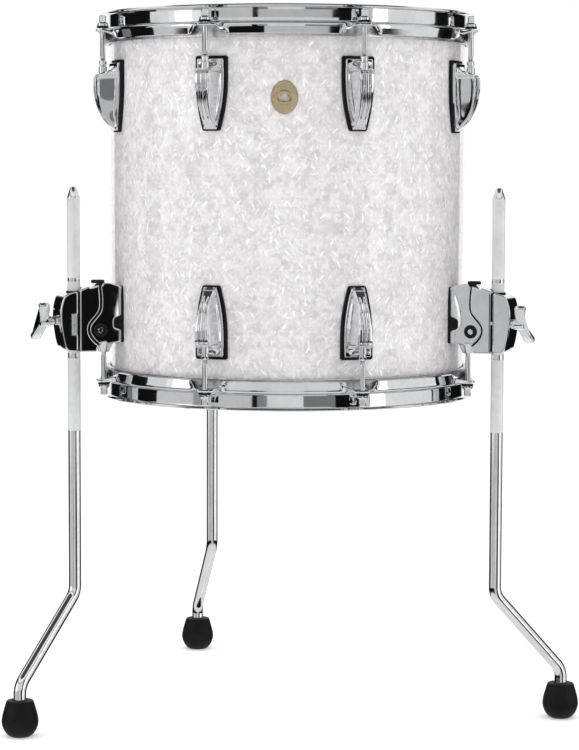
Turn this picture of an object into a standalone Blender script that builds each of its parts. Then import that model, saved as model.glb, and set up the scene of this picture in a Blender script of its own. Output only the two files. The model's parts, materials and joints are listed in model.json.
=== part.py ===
"""Floor tom, 14 by 14 inch: a ply shell in a plastic wrap, a head under a flanged hoop at each end,
eight tension rods a side, and three legs held in clamp brackets that also take a lower rod each.

Z is up and the feet stand at z = 0. Every piece fixed to the shell is drawn in a station frame, in
which X is the distance from the drum's axis and Y runs anticlockwise, and is then turned to its
station about the axis. The lower half of the drum is the upper half turned over.
"""

import math

import bmesh
import bpy
import numpy as np
from mathutils import Matrix

# Sizes in metres and angles in degrees.
CLEARANCE = 0.0003          # between pieces that touch on the real drum
RUNNING = 0.0003            # round a rod, leg or bolt that turns or slides
RING_STEPS = 48             # facets round every large ring, so that their faces line up

SHELL_DIAMETER = 0.3532
SHELL_DEPTH = 0.3556
SHELL_WALL = 0.006
BEARING_EDGE = 0.002        # how far inside the shell's outer face the bearing edge stands
LOWER_EDGE_HEIGHT = 0.3315  # the lower bearing edge above the floor
WRAP_WALL = 0.0006
WRAP_SHORT = 0.0045         # the wrap stops this far short of each bearing edge

HEAD_FILM = 0.0004
HEAD_COLLAR = 0.0100        # how far the film turns down outside the shell
FLESH_HOOP_WALL = 0.0032
FLESH_HOOP_HEIGHT = 0.0120
FLESH_HOOP_DROP = 0.0070    # its top stands this far below the film

HOOP_SHEET = 0.0022
HOOP_GAP = 0.0011           # from the film's collar to the hoop's upright wall
HOOP_HEIGHT = 0.0260
HOOP_LEDGE_DROP = 0.0156    # from the rim down to the ledge
HOOP_LEDGE_ROOM = 0.0021    # how much further than the flesh hoop's wall the ledge runs to the fold
HOOP_LIP = 0.0042
EAR_FLAT = 4.6              # width of an ear's flat, in degrees round the drum
EAR_SPREAD = 6.7            # from the rod to where the skirt is whole again, in degrees
EAR_SLOPE = 4.0
SKIRT_LEAN = 6.0            # the skirt draws in towards its lower edge, in degrees
EAR_DROP = 0.0008           # the ledge dips this far at an ear
EAR_LENGTH = 0.0153

ROD_COUNT = 8
FIRST_ROD = 22.5 - 90.0     # station of the first rod; the badge faces -Y, at -90
ROD_STANDOFF = 0.0158       # from the wrap out to a tension rod's axis
ROD_DIAMETER = 0.0052
ROD_DEPTH_IN_LUG = 0.026
ROD_KEY = 0.0063
ROD_KEY_HEIGHT = 0.0065
ROD_HEAD_DIAMETER = 0.0109
ROD_HEAD_HEIGHT = 0.0040
ROD_WASHER_DIAMETER = 0.0118
ROD_WASHER = 0.0014

LUG_LENGTH = 0.0698
LUG_FROM_EDGE = 0.0360      # from the bearing edge to the lug's wide end
LUG_WIDTH = 0.0330
LUG_NARROW_END = 0.0174
LUG_FOOT = 0.0055           # gasket and casing rim, off the wrap
LUG_REACH = 0.0242
LUG_HUMP_START = 0.0112
LUG_NECK_WALL = 0.0006
LUG_FACE_WIDTH = 0.0136

VENT_BELOW_EDGE = 0.0744    # badge and vent centre below the upper bearing edge
VENT_BORE = 0.0070
VENT_TUBE = 0.0100
VENT_FLANGE = 0.0138
VENT_FLANGE_THICKNESS = 0.0011
BADGE_WIDTH = 0.0255
BADGE_HEIGHT = 0.0315
BADGE_THICKNESS = 0.0010

LEG_STATIONS = (22.5 - 180.0, -22.5, 112.5)
LEG_TURNS = (29.7, 49.0, -7.4)  # which way each foot points, anticlockwise from straight outward
LEG_DIAMETER = 0.0127
LEG_STANDOFF = 0.0462       # from the wrap out to a leg's axis
LEG_TOP = 0.5290
LEG_TIP_LENGTH = 0.0105
LEG_UPPER_BEND = 0.1298
LEG_LOWER_BEND = 0.0487
LEG_OFFSET = 0.0772         # from the leg's upper stretch out to its foot
LEG_BEND_RADIUS = 0.020
FOOT_DIAMETER = 0.0357
FOOT_HEIGHT = 0.0350
FOOT_SOLE = 0.0190
FOOT_SOCKET = 0.0200

BRACKET_ABOVE_EDGE = 0.0736  # bracket's middle above the lower bearing edge
BRACKET_HALF_WIDTH = 0.0125
CLAMP_LOW = -0.0374
CLAMP_HIGH = 0.0278
ISOLATION_GAP = 0.0004      # along the rubber line between base and clamp
SPLIT_GAP = 0.0004          # between clamp and jaw
SPLIT_INSIDE_LEG = 0.0013   # the split stands this far inside the leg's axis
LINER_WALL = 0.0010
BOLT_DIAMETER = 0.0050
BOLT_WALL = 0.00055         # between the liner's passage and the wing bolt beside it
BOLT_HEIGHT = -0.0075
BOLT_SLOT_ROOM = 0.0007
HINGE_WALL = 0.00305        # from the liner's passage out to the jaw's hinge line
BOLT_EDGE = 0.0045          # from the bolt's axis, and from the hinge line, out to the clamp's sides
HINGE_EDGE = 0.0025
WING_SPAN = 0.0540
WING_THICKNESS = 0.0046
WING_TILTS = (44.0, -44.0, 44.0)

# Places worked out from the sizes.
SHELL_RADIUS = SHELL_DIAMETER / 2
WRAP_RADIUS = SHELL_RADIUS + CLEARANCE + WRAP_WALL
COLLAR_INNER = WRAP_RADIUS + CLEARANCE
COLLAR_OUTER = COLLAR_INNER + HEAD_FILM
HOOP_INNER = COLLAR_OUTER + HOOP_GAP
HOOP_WALL_OUTER = HOOP_INNER + HOOP_SHEET
HOOP_FOLD = HOOP_WALL_OUTER + FLESH_HOOP_WALL + HOOP_LEDGE_ROOM
SEAT = WRAP_RADIUS + CLEARANCE      # where fittings meet the wrap
ROD_CIRCLE = WRAP_RADIUS + ROD_STANDOFF
ROD_STATIONS = [FIRST_ROD + 360.0 * k / ROD_COUNT for k in range(ROD_COUNT)]
HALF_DEPTH = SHELL_DEPTH / 2
MIDDLE_HEIGHT = LOWER_EDGE_HEIGHT + HALF_DEPTH
HEAD_TOP = HALF_DEPTH + CLEARANCE + HEAD_FILM
FLESH_HOOP_TOP = HEAD_TOP - FLESH_HOOP_DROP
LEDGE_UNDER = FLESH_HOOP_TOP + CLEARANCE
HOOP_RIM = LEDGE_UNDER + HOOP_SHEET + HOOP_LEDGE_DROP
EAR_PITCH = math.tan(math.radians(EAR_SLOPE))
EAR_TOP = HOOP_RIM - HOOP_LEDGE_DROP - EAR_DROP - (ROD_CIRCLE - HOOP_FOLD) * EAR_PITCH
WASHER_SEAT = EAR_TOP + CLEARANCE + EAR_PITCH * ROD_WASHER_DIAMETER / 2
LUG_TOP = HALF_DEPTH - LUG_FROM_EDGE
LEG_CIRCLE = WRAP_RADIUS + LEG_STANDOFF
BRACKET_HEIGHT = LOWER_EDGE_HEIGHT + BRACKET_ABOVE_EDGE
SPLIT = LEG_STANDOFF - CLEARANCE - SPLIT_INSIDE_LEG
LINER_OUTER = LEG_DIAMETER / 2 + RUNNING + LINER_WALL
PASSAGE = LINER_OUTER + CLEARANCE
BOLT_SIDE = -(PASSAGE + BOLT_WALL + BOLT_DIAMETER / 2)
BOLT_SLOT_HALF = BOLT_DIAMETER / 2 + BOLT_SLOT_ROOM
JAW_HINGE_SIDE = PASSAGE + HINGE_WALL
CLAMP_SIDES = (BOLT_SIDE - BOLT_EDGE, JAW_HINGE_SIDE + HINGE_EDGE)
ROD_BORE = ROD_DIAMETER / 2 + 2 * RUNNING


# Scene, materials and objects.

def clear_scene():
    for obj in list(bpy.data.objects):
        bpy.data.objects.remove(obj, do_unlink=True)


def new_collection(name):
    made = bpy.data.collections.new(name)
    bpy.context.scene.collection.children.link(made)
    return made


def finish(name, colour, roughness, metallic):
    made = bpy.data.materials.new(name)
    made.use_nodes = True
    shader = made.node_tree.nodes["Principled BSDF"]
    shader.inputs["Base Color"].default_value = (*colour, 1.0)
    shader.inputs["Roughness"].default_value = roughness
    shader.inputs["Metallic"].default_value = metallic
    made.diffuse_color = (*colour, 1.0)
    return made


def empty(name, parent=None, location=(0, 0, 0), turn=0.0):
    """An empty on a joint's axis or at a station, turned about Z by an angle in degrees."""
    made = bpy.data.objects.new(name, None)
    made.location = location
    made.rotation_euler = (0, 0, math.radians(turn))
    made.empty_display_size = 0.02
    drum.objects.link(made)
    made.parent = parent
    return made


def piece(name, shape, material, parent, location=(0, 0, 0), rotation=(0, 0, 0)):
    """A named solid. Copies of one piece share their mesh."""
    made = bpy.data.objects.new(name, shape)
    made.location = location
    made.rotation_euler = rotation
    if not shape.materials:
        shape.materials.append(material)
    drum.objects.link(made)
    made.parent = parent
    return made


# Shapes. Each function returns a mesh, and the helper objects it needs are removed again.

def as_mesh(name, helper):
    """The evaluated mesh of a helper object, welded, with its sharp edges marked."""
    bpy.context.view_layer.update()
    graph = bpy.context.evaluated_depsgraph_get()
    made = bpy.data.meshes.new_from_object(helper.evaluated_get(graph))
    made.name = name
    bpy.data.objects.remove(helper, do_unlink=True)
    work = bmesh.new()
    work.from_mesh(made)
    bmesh.ops.remove_doubles(work, verts=work.verts, dist=1e-6)
    bmesh.ops.recalc_face_normals(work, faces=work.faces)
    work.to_mesh(made)
    work.free()
    made.materials.clear()
    made.shade_smooth()
    made.set_sharp_from_angle(angle=math.radians(35))
    return made


def helper_object(name, data):
    made = bpy.data.objects.new(name, data)
    cutters.objects.link(made)
    made.hide_render = True
    if data is not None and made.type == "MESH":
        made.display_type = "WIRE"
    return made


def box(low, high):
    work = bmesh.new()
    bmesh.ops.create_cube(work, size=1.0)
    middle = [(a + b) / 2 for a, b in zip(low, high)]
    scale = [b - a for a, b in zip(low, high)]
    bmesh.ops.transform(work, matrix=Matrix.Translation(middle) @ Matrix.Diagonal((*scale, 1)),
                        verts=work.verts)
    made = bpy.data.meshes.new("box")
    work.to_mesh(made)
    work.free()
    return made


def cylinder(radius, low, high, centre=(0, 0), axis="Z", steps=16, top_radius=None):
    """A cylinder, or a cone with a top radius, from low to high along an axis through centre."""
    work = bmesh.new()
    bmesh.ops.create_cone(work, cap_ends=True, segments=steps, radius1=radius,
                          radius2=radius if top_radius is None else top_radius, depth=high - low)
    place = Matrix.Translation((centre[0], centre[1], (low + high) / 2))
    if axis == "X":
        place = Matrix.Translation(((low + high) / 2, centre[0], centre[1])) @ Matrix.Rotation(
            math.radians(90), 4, "Y")
    bmesh.ops.transform(work, matrix=place, verts=work.verts)
    made = bpy.data.meshes.new("cylinder")
    work.to_mesh(made)
    work.free()
    return made


def turned(name, profile, steps=RING_STEPS, closed=True):
    """A profile of (radius, height) points turned about Z. A closed profile makes a ring."""
    outline = bpy.data.meshes.new(name + "_profile")
    count = len(profile)
    edges = [(k, (k + 1) % count) for k in range(count if closed else count - 1)]
    outline.from_pydata([(r, 0, z) for r, z in profile], edges, [])
    helper = helper_object(name + "_helper", outline)
    screw = helper.modifiers.new("Turn", "SCREW")
    screw.steps = steps
    screw.render_steps = steps
    screw.use_merge_vertices = True
    screw.merge_threshold = 0.00001
    return as_mesh(name, helper)


def plate(name, outline, low, high):
    """A flat outline of (x, z) points as thick as the stretch of Y from low to high."""
    curve = bpy.data.curves.new(name, "CURVE")
    curve.dimensions = "2D"
    curve.fill_mode = "BOTH"
    curve.extrude = (high - low) / 2
    spline = curve.splines.new("POLY")
    spline.points.add(len(outline) - 1)
    for point, (x, z) in zip(spline.points, outline):
        point.co = (x, z, 0, 1)
    spline.use_cyclic_u = True
    made = as_mesh(name, helper_object(name + "_helper", curve))
    made.transform(Matrix.Translation((0, (low + high) / 2, 0)) @ Matrix.Rotation(
        math.radians(90), 4, "X"))
    return made


def carved(name, body, add=(), cut=()):
    """A body joined with some meshes and cut by others."""
    helper = helper_object(name + "_helper", body)
    tools = []
    for operation, meshes in (("UNION", add), ("DIFFERENCE", cut)):
        for mesh in meshes:
            tool = helper_object(name + "_tool", mesh)
            boolean = helper.modifiers.new(operation.title(), "BOOLEAN")
            boolean.operation = operation
            boolean.solver = "EXACT"
            boolean.object = tool
            tools.append(tool)
    made = as_mesh(name, helper)
    for tool in tools:
        bpy.data.objects.remove(tool, do_unlink=True)
    return made


def lofted(name, sections):
    """A closed solid through sections that are rings of the same number of points."""
    rings = np.array(sections)
    count, around = rings.shape[:2]
    faces = []
    for ring in range(count - 1):
        for k in range(around):
            step = (k + 1) % around
            faces.append((ring * around + k, ring * around + step,
                          (ring + 1) * around + step, (ring + 1) * around + k))
    faces.append(tuple(reversed(range(around))))
    faces.append(tuple((count - 1) * around + k for k in range(around)))
    made = bpy.data.meshes.new(name)
    made.from_pydata(rings.reshape(-1, 3).tolist(), [], faces)
    work = bmesh.new()
    work.from_mesh(made)
    bmesh.ops.recalc_face_normals(work, faces=work.faces)
    work.to_mesh(made)
    work.free()
    made.shade_smooth()
    made.set_sharp_from_angle(angle=math.radians(35))
    return made


# The shell and what stays on it.

def shell_mesh():
    inner = SHELL_RADIUS - SHELL_WALL
    edge = SHELL_RADIUS - BEARING_EDGE
    bevel = edge - inner
    ring = turned("shell", [
        (SHELL_RADIUS, HALF_DEPTH - BEARING_EDGE), (SHELL_RADIUS, BEARING_EDGE - HALF_DEPTH),
        (edge, -HALF_DEPTH), (inner, bevel - HALF_DEPTH),
        (inner, HALF_DEPTH - bevel), (edge, HALF_DEPTH)])
    return carved("shell", ring, cut=[vent_cut()])


def wrap_mesh():
    end = HALF_DEPTH - WRAP_SHORT
    inner = SHELL_RADIUS + CLEARANCE
    ring = turned("pearl_wrap", [(WRAP_RADIUS, end), (WRAP_RADIUS, -end), (inner, -end), (inner, end)])
    return carved("pearl_wrap", ring, cut=[vent_cut()])


def vent_cut():
    """The hole for the vent's tube, drilled inward from the front of the drum."""
    hole = cylinder(VENT_TUBE / 2 + CLEARANCE, SHELL_RADIUS - 2 * SHELL_WALL, WRAP_RADIUS + SHELL_WALL,
                    axis="X", steps=20)
    up = HALF_DEPTH - VENT_BELOW_EDGE
    hole.transform(Matrix.Translation((0, 0, up)) @ Matrix.Rotation(math.radians(-90), 4, "Z"))
    return hole


def badge_mesh():
    """An upright oval plate with a round hole for the vent."""
    angles = np.linspace(0, 2 * math.pi, 24, endpoint=False)
    oval = [(BADGE_WIDTH / 2 * math.cos(a), BADGE_HEIGHT / 2 * math.sin(a)) for a in angles]
    flat = plate("badge_plate", oval, 0.0, BADGE_THICKNESS)
    flat.transform(Matrix.Rotation(math.radians(90), 4, "Z"))
    flat.transform(Matrix.Translation((SEAT + BADGE_THICKNESS, 0, 0)))
    hole = cylinder(VENT_TUBE / 2 + CLEARANCE, SEAT - SHELL_WALL, SEAT + SHELL_WALL, axis="X", steps=20)
    return carved("badge_plate", flat, cut=[hole])


def vent_mesh():
    """A flanged tube that passes through badge, wrap and shell."""
    face = SEAT + BADGE_THICKNESS + CLEARANCE + VENT_FLANGE_THICKNESS
    under = face - VENT_FLANGE_THICKNESS
    end = SHELL_RADIUS - SHELL_WALL - 0.001
    tube = turned("vent_grommet", [
        (VENT_FLANGE / 2, under), (VENT_TUBE / 2, under), (VENT_TUBE / 2, end), (VENT_BORE / 2, end),
        (VENT_BORE / 2, face), (VENT_FLANGE / 2 - 0.0006, face)], steps=20)
    tube.transform(Matrix.Rotation(math.radians(90), 4, "Y"))
    return tube


def head_mesh(name):
    """A film across the shell that turns down outside it, as a closed thin solid."""
    low = HEAD_TOP - HEAD_COLLAR
    corner = 0.0012
    return turned(name, [
        (0, HEAD_TOP), (COLLAR_OUTER - corner, HEAD_TOP), (COLLAR_OUTER, HEAD_TOP - corner),
        (COLLAR_OUTER, low), (COLLAR_INNER, low),
        (COLLAR_INNER, HEAD_TOP - corner), (COLLAR_INNER - corner + HEAD_FILM, HEAD_TOP - HEAD_FILM),
        (0, HEAD_TOP - HEAD_FILM)], closed=False)


def flesh_hoop_mesh(name):
    inner = COLLAR_OUTER + CLEARANCE
    outer = inner + FLESH_HOOP_WALL
    low = FLESH_HOOP_TOP - FLESH_HOOP_HEIGHT
    return turned(name, [(outer, FLESH_HOOP_TOP), (outer, low), (inner, low), (inner, FLESH_HOOP_TOP)])


def hoop_mesh(name):
    """A flanged hoop: one sheet profile carried round the drum. The outer flange hangs down as a
    skirt between the rods, and folds up to a nearly level ear at each rod."""
    spacing = 360.0 / ROD_COUNT
    fold_steps = np.linspace(EAR_FLAT / 2, EAR_SPREAD, 4)
    rest = np.linspace(EAR_SPREAD, spacing / 2, 3)[1:]
    side = np.concatenate([fold_steps, rest[:-1]])
    offsets = np.concatenate([-side[::-1], [0.0], side, [spacing / 2]])
    stations = (np.array(ROD_STATIONS)[:, None] + offsets[None, :]).ravel()
    away = np.tile(np.abs(offsets), ROD_COUNT)
    blend = np.clip((away - EAR_FLAT / 2) / (EAR_SPREAD - EAR_FLAT / 2), 0, 1)
    blend = blend * blend * (3 - 2 * blend)
    # The flange's edge moves in a straight line from the ear's tip to the skirt's lower edge.
    skirt = HOOP_HEIGHT - HOOP_LEDGE_DROP
    lean = math.radians(SKIRT_LEAN)
    ear_x, ear_z = EAR_LENGTH, EAR_LENGTH * EAR_PITCH
    edge_x = ear_x + (-skirt * math.tan(lean) - ear_x) * blend
    edge_z = ear_z + (skirt - ear_z) * blend
    droop = np.arctan2(edge_z, edge_x)
    ones = np.ones_like(away)
    ledge = (HOOP_RIM - HOOP_LEDGE_DROP) * ones
    dip = EAR_DROP * (1 - blend)
    in_x, in_z = -np.sin(droop) * HOOP_SHEET, -np.cos(droop) * HOOP_SHEET
    # The inner corner under the fold is the meeting point of the two undersides.
    corner = HOOP_SHEET * np.tan(droop / 2)
    tip_x = HOOP_FOLD + edge_x
    tip_z = ledge - dip - edge_z
    profile = [
        ((HOOP_WALL_OUTER + HOOP_LIP) * ones, HOOP_RIM * ones),
        ((HOOP_WALL_OUTER + HOOP_LIP) * ones, (HOOP_RIM - HOOP_SHEET) * ones),
        (HOOP_WALL_OUTER * ones, (HOOP_RIM - HOOP_SHEET) * ones),
        (HOOP_WALL_OUTER * ones, ledge),
        (HOOP_FOLD * ones, ledge - dip),
        (tip_x, tip_z),
        (tip_x + in_x, tip_z + in_z),
        (HOOP_FOLD - corner, LEDGE_UNDER - dip),
        (HOOP_INNER * ones, LEDGE_UNDER * ones),
        (HOOP_INNER * ones, HOOP_RIM * ones)]
    radius = np.array([p[0] for p in profile]).T
    height = np.array([p[1] for p in profile]).T
    angle = np.radians(stations)[:, None]
    points = np.stack([radius * np.cos(angle), radius * np.sin(angle), height], -1)
    count, around = radius.shape
    faces = []
    for ring in range(count):
        after = (ring + 1) % count
        for k in range(around):
            step = (k + 1) % around
            faces.append((ring * around + k, after * around + k,
                          after * around + step, ring * around + step))
    made = bpy.data.meshes.new(name + "_sheet")
    made.from_pydata(points.reshape(-1, 3).tolist(), [], faces)
    work = bmesh.new()
    work.from_mesh(made)
    bmesh.ops.recalc_face_normals(work, faces=work.faces)
    work.to_mesh(made)
    work.free()
    holes = []
    for station in ROD_STATIONS:
        at = (ROD_CIRCLE * math.cos(math.radians(station)), ROD_CIRCLE * math.sin(math.radians(station)))
        holes.append(cylinder(ROD_BORE, EAR_TOP - 0.01, EAR_TOP + 0.01, at, steps=12))
    return carved(name, made, cut=holes)


# Rods and lugs, drawn for the upper half at station 0.

def rod_mesh():
    """A tension rod with its washer: square key head, round collar, washer and plain shaft."""
    washer_top = WASHER_SEAT + ROD_WASHER
    head_top = washer_top + ROD_HEAD_HEIGHT
    end = LUG_TOP - ROD_DEPTH_IN_LUG
    body = turned("tension_rod", [
        (0, head_top), (ROD_KEY * 0.36, head_top), (ROD_HEAD_DIAMETER / 2, washer_top + 0.0012),
        (ROD_HEAD_DIAMETER / 2, washer_top), (ROD_WASHER_DIAMETER / 2, washer_top),
        (ROD_WASHER_DIAMETER / 2, WASHER_SEAT), (ROD_DIAMETER / 2, WASHER_SEAT),
        (ROD_DIAMETER / 2, end), (0, end)], steps=10, closed=False)
    half = ROD_KEY / 2
    key = box((-half, -half, washer_top + 0.001), (half, half, head_top + ROD_KEY_HEIGHT))
    return carved("tension_rod", body, add=[key])


def lug_half_width(down):
    """Half the lug's width at a distance below its wide end: full, then closing along a curve."""
    start = 0.30 * LUG_LENGTH
    t = min(max((down - start) / (LUG_LENGTH - start), 0.0), 1.0)
    return LUG_WIDTH / 2 - (LUG_WIDTH - LUG_NARROW_END) / 2 * t * t


def lug_reach(down):
    """How far the lug's hump stands off its foot at a distance below the wide end."""
    peak = 0.36 * LUG_LENGTH
    if down < LUG_HUMP_START:
        return 0.0
    if down < peak:
        t = (peak - down) / (peak - LUG_HUMP_START)
        return (LUG_REACH - LUG_FOOT) * (1 - 0.28 * t ** 4)
    t = min((down - peak) / (0.95 * LUG_LENGTH - peak), 1.0)
    return (LUG_REACH - LUG_FOOT) * max(1 - t * t, 0.0) ** 0.75


def lug_mesh():
    """A lug casing on its gasket: a long shield with a hump that takes the rod's receiver."""
    sections = []
    stops = [0.0, LUG_HUMP_START, LUG_HUMP_START + 0.0001, 0.016, 0.025, 0.040, 0.053, 0.062,
             0.0665, LUG_LENGTH]
    for down in stops:
        wide = lug_half_width(down)
        reach = 0.0 if down == LUG_HUMP_START else lug_reach(down)
        foot = wide * 0.66
        face = min(LUG_FACE_WIDTH / 2, wide * 0.42)
        side = math.sqrt(SEAT ** 2 - wide ** 2)
        z = LUG_TOP - down
        sections.append([
            (side, -wide, z), (SEAT, 0, z), (side, wide, z),
            (SEAT + LUG_FOOT, wide * 0.86, z), (SEAT + LUG_FOOT + 0.0003, foot, z),
            (SEAT + LUG_FOOT + 0.0006 + reach, face, z), (SEAT + LUG_FOOT + 0.0006 + reach, -face, z),
            (SEAT + LUG_FOOT + 0.0003, -foot, z), (SEAT + LUG_FOOT, -wide * 0.86, z)])
    casing = lofted("lug", sections)
    neck = cylinder(ROD_BORE + LUG_NECK_WALL, LUG_TOP - LUG_HUMP_START - 0.004, LUG_TOP - 0.0010,
                    (ROD_CIRCLE, 0), steps=10)
    bore = cylinder(ROD_BORE, LUG_TOP - ROD_DEPTH_IN_LUG - 0.002, LUG_TOP + 0.01,
                    (ROD_CIRCLE, 0), steps=10)
    return carved("lug", casing, add=[neck], cut=[bore])


# Leg brackets, drawn at station 0 with Z counted from the bracket's middle.

ISOLATION_LINE = [(0.0235, 0.0277), (0.0221, 0.0188), (0.0218, 0.0037), (0.0270, -0.0028),
                  (0.0330, -0.0092), (0.0348, -0.0145), (0.0335, -0.0205), (0.0290, -0.0265),
                  (0.0245, -0.0298)]


def base_mesh():
    """The bracket's base casting: an arch against the shell and, below, a boss for the rod."""
    outline = [(0.0, -0.0280), (0.0, -0.0160), (0.0085, -0.0130), (0.0085, -0.0050), (0.0, -0.0020),
               (0.0, 0.0265), (0.0055, 0.0282), (0.0140, 0.0305), (0.0210, 0.0295)]
    outline += ISOLATION_LINE + [(0.0170, -0.0300)]
    body = plate("bracket_base", [(SEAT + x, z) for x, z in outline],
                 -BRACKET_HALF_WIDTH, BRACKET_HALF_WIDTH)
    boss_low = CLAMP_LOW - 0.0010
    boss = cylinder(0.0052, boss_low, -0.0290, (ROD_CIRCLE, 0), steps=16, top_radius=0.0080)
    bore = cylinder(ROD_BORE, boss_low - 0.01, -0.0100, (ROD_CIRCLE, 0), steps=10)
    return carved("bracket_base", body, add=[boss], cut=[bore])


def groove():
    """The round passage of the liner through clamp and jaw."""
    return cylinder(PASSAGE, CLAMP_LOW - 0.02, CLAMP_HIGH + 0.02,
                    (LEG_CIRCLE, 0), steps=16)


def clamp_mesh():
    """The clamp body outside the isolation line, up to the split at the leg."""
    outline = [(x + ISOLATION_GAP, z) for x, z in ISOLATION_LINE]
    outline += [(0.0249, CLAMP_LOW), (SPLIT, CLAMP_LOW), (SPLIT, 0.0232), (0.0335, CLAMP_HIGH)]
    body = plate("clamp_body", [(SEAT + x, z) for x, z in outline], *CLAMP_SIDES)
    slot = box((SEAT + SPLIT - 0.0060, BOLT_SIDE - BOLT_SLOT_HALF, BOLT_HEIGHT - BOLT_SLOT_HALF),
               (SEAT + SPLIT + 0.01, BOLT_SIDE + BOLT_SLOT_HALF - 0.0006, BOLT_HEIGHT + BOLT_SLOT_HALF))
    return carved("clamp_body", body, cut=[groove(), slot])


def jaw_mesh():
    """The jaw outside the split, rounded outward, with a hole beside the leg for the wing bolt."""
    start = SPLIT + SPLIT_GAP
    outline = [(start, 0.0228), (SPLIT + 0.0118, 0.0199), (SPLIT + 0.0156, 0.0165),
               (SPLIT + 0.0180, 0.0080), (SPLIT + 0.0188, 0.0000), (SPLIT + 0.0182, -0.0110),
               (SPLIT + 0.0160, -0.0250), (SPLIT + 0.0135, -0.0335), (SPLIT + 0.0110, -0.0362),
               (start, CLAMP_LOW)]
    body = plate("clamp_jaw", [(SEAT + x, z) for x, z in outline], *CLAMP_SIDES)
    hole = cylinder(BOLT_DIAMETER / 2 + RUNNING, SEAT + SPLIT - 0.01, SEAT + SPLIT + 0.04,
                    (BOLT_SIDE, BOLT_HEIGHT), axis="X", steps=12)
    return carved("clamp_jaw", body, cut=[groove(), hole])


def liner_mesh():
    inner = LEG_DIAMETER / 2 + RUNNING
    high, low = 0.0222, CLAMP_LOW + 0.0010
    return turned("leg_liner", [(LINER_OUTER, high), (LINER_OUTER, low), (inner, low), (inner, high)],
                  steps=16)


def wing_bolt_mesh():
    """A bolt along X from its own axis, with a hub and two wings swept outward."""
    tip = SPLIT - 0.0040
    hub_start = SPLIT + 0.0230
    hub_end = hub_start + 0.0105
    shaft = cylinder(BOLT_DIAMETER / 2, tip, hub_start + 0.002, axis="X", steps=12)
    hub = cylinder(0.0052, hub_start, hub_end, axis="X", steps=12)
    reach = WING_SPAN / 2
    wing = [(hub_start + 0.0015, 0.0), (hub_start + 0.0015, 0.0035), (hub_start + 0.0055, reach),
            (hub_start + 0.0175, reach - 0.0010), (hub_end + 0.0015, 0.0050), (hub_end - 0.001, 0.0)]
    wings = wing + [(x, -z) for x, z in reversed(wing[1:-1])]
    leaves = plate("wings", wings, -WING_THICKNESS / 2, WING_THICKNESS / 2)
    return carved("wing_bolt", leaves, add=[hub, shaft])


# Legs, drawn round their upper stretch's axis with the foot toward +X.

def rounded_path(corners, radius, arc_steps=5):
    """The points of a path of straight runs whose corners are round, each arc cut in equal steps."""
    path = [np.array(corners[0], float)]
    for before, corner, after in zip(corners, corners[1:-1], corners[2:]):
        before, corner, after = (np.array(p, float) for p in (before, corner, after))
        back = (before - corner) / np.linalg.norm(before - corner)
        onward = (after - corner) / np.linalg.norm(after - corner)
        half = math.acos(float(np.dot(back, onward))) / 2
        centre = corner + (back + onward) / np.linalg.norm(back + onward) * radius / math.sin(half)
        start = corner + back * radius / math.tan(half)
        end = corner + onward * radius / math.tan(half)
        for k in range(arc_steps + 1):
            mix = start + (end - start) * k / arc_steps - centre
            path.append(centre + mix / np.linalg.norm(mix) * radius)
    path.append(np.array(corners[-1], float))
    return path


def leg_curve():
    """A bent round bar with a pointed top, as a bevelled curve."""
    foot_end = FOOT_HEIGHT - FOOT_SOCKET + CLEARANCE
    corners = [(0, 0, LEG_TOP - LEG_TIP_LENGTH), (0, 0, LEG_UPPER_BEND),
               (LEG_OFFSET, 0, LEG_LOWER_BEND), (LEG_OFFSET, 0, foot_end)]
    path = [(0, 0, LEG_TOP)] + [tuple(p) for p in rounded_path(corners, LEG_BEND_RADIUS)]
    curve = bpy.data.curves.new("leg", "CURVE")
    curve.dimensions = "3D"
    curve.bevel_depth = LEG_DIAMETER / 2
    curve.bevel_resolution = 2
    curve.use_fill_caps = True
    spline = curve.splines.new("POLY")
    spline.points.add(len(path) - 1)
    for point, place in zip(spline.points, path):
        point.co = (*place, 1)
    spline.points[0].radius = 0.12
    return curve


def foot_mesh():
    """A rubber bulb with a flat sole and a blind socket for the leg."""
    widest = FOOT_DIAMETER / 2
    sole = FOOT_SOLE / 2
    socket = LEG_DIAMETER / 2 + CLEARANCE
    floor = FOOT_HEIGHT - FOOT_SOCKET
    return turned("rubber_foot", [
        (0, floor), (socket, floor), (socket, FOOT_HEIGHT), (widest * 0.73, FOOT_HEIGHT),
        (widest * 0.88, FOOT_HEIGHT * 0.76), (widest, FOOT_HEIGHT * 0.45), (widest * 0.97, FOOT_HEIGHT * 0.27),
        (widest * 0.84, FOOT_HEIGHT * 0.10), (sole, 0), (0, 0)], steps=16, closed=False)


# The drum.

clear_scene()
drum = new_collection("floor_tom")
cutters = new_collection("cutters")

maple = finish("maple_ply", (0.62, 0.42, 0.24), 0.45, 0.0)
pearl = finish("pearl_wrap", (0.86, 0.84, 0.85), 0.12, 0.0)
film = finish("head_film", (0.90, 0.90, 0.88), 0.45, 0.0)
aluminium = finish("flesh_hoop_aluminium", (0.72, 0.72, 0.74), 0.35, 1.0)
chrome = finish("chrome", (0.86, 0.87, 0.88), 0.06, 1.0)
satin_chrome = finish("leg_chrome", (0.80, 0.81, 0.82), 0.12, 1.0)
gold = finish("badge_gold", (0.66, 0.54, 0.32), 0.30, 1.0)
rubber = finish("black_rubber", (0.02, 0.02, 0.02), 0.60, 0.0)
nylon = finish("liner_nylon", (0.06, 0.06, 0.06), 0.50, 0.0)

root = empty("drum_root")
upper = empty("upper_half", root, (0, 0, MIDDLE_HEIGHT))
lower = empty("lower_half", root, (0, 0, MIDDLE_HEIGHT))
lower.rotation_euler = (math.radians(180), 0, 0)

piece("shell", shell_mesh(), maple, upper)
piece("pearl_wrap", wrap_mesh(), pearl, upper)
front = empty("front_station", upper, (0, 0, HALF_DEPTH - VENT_BELOW_EDGE), -90.0)
piece("badge_plate", badge_mesh(), gold, front)
piece("vent_grommet", vent_mesh(), gold, front)

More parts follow.
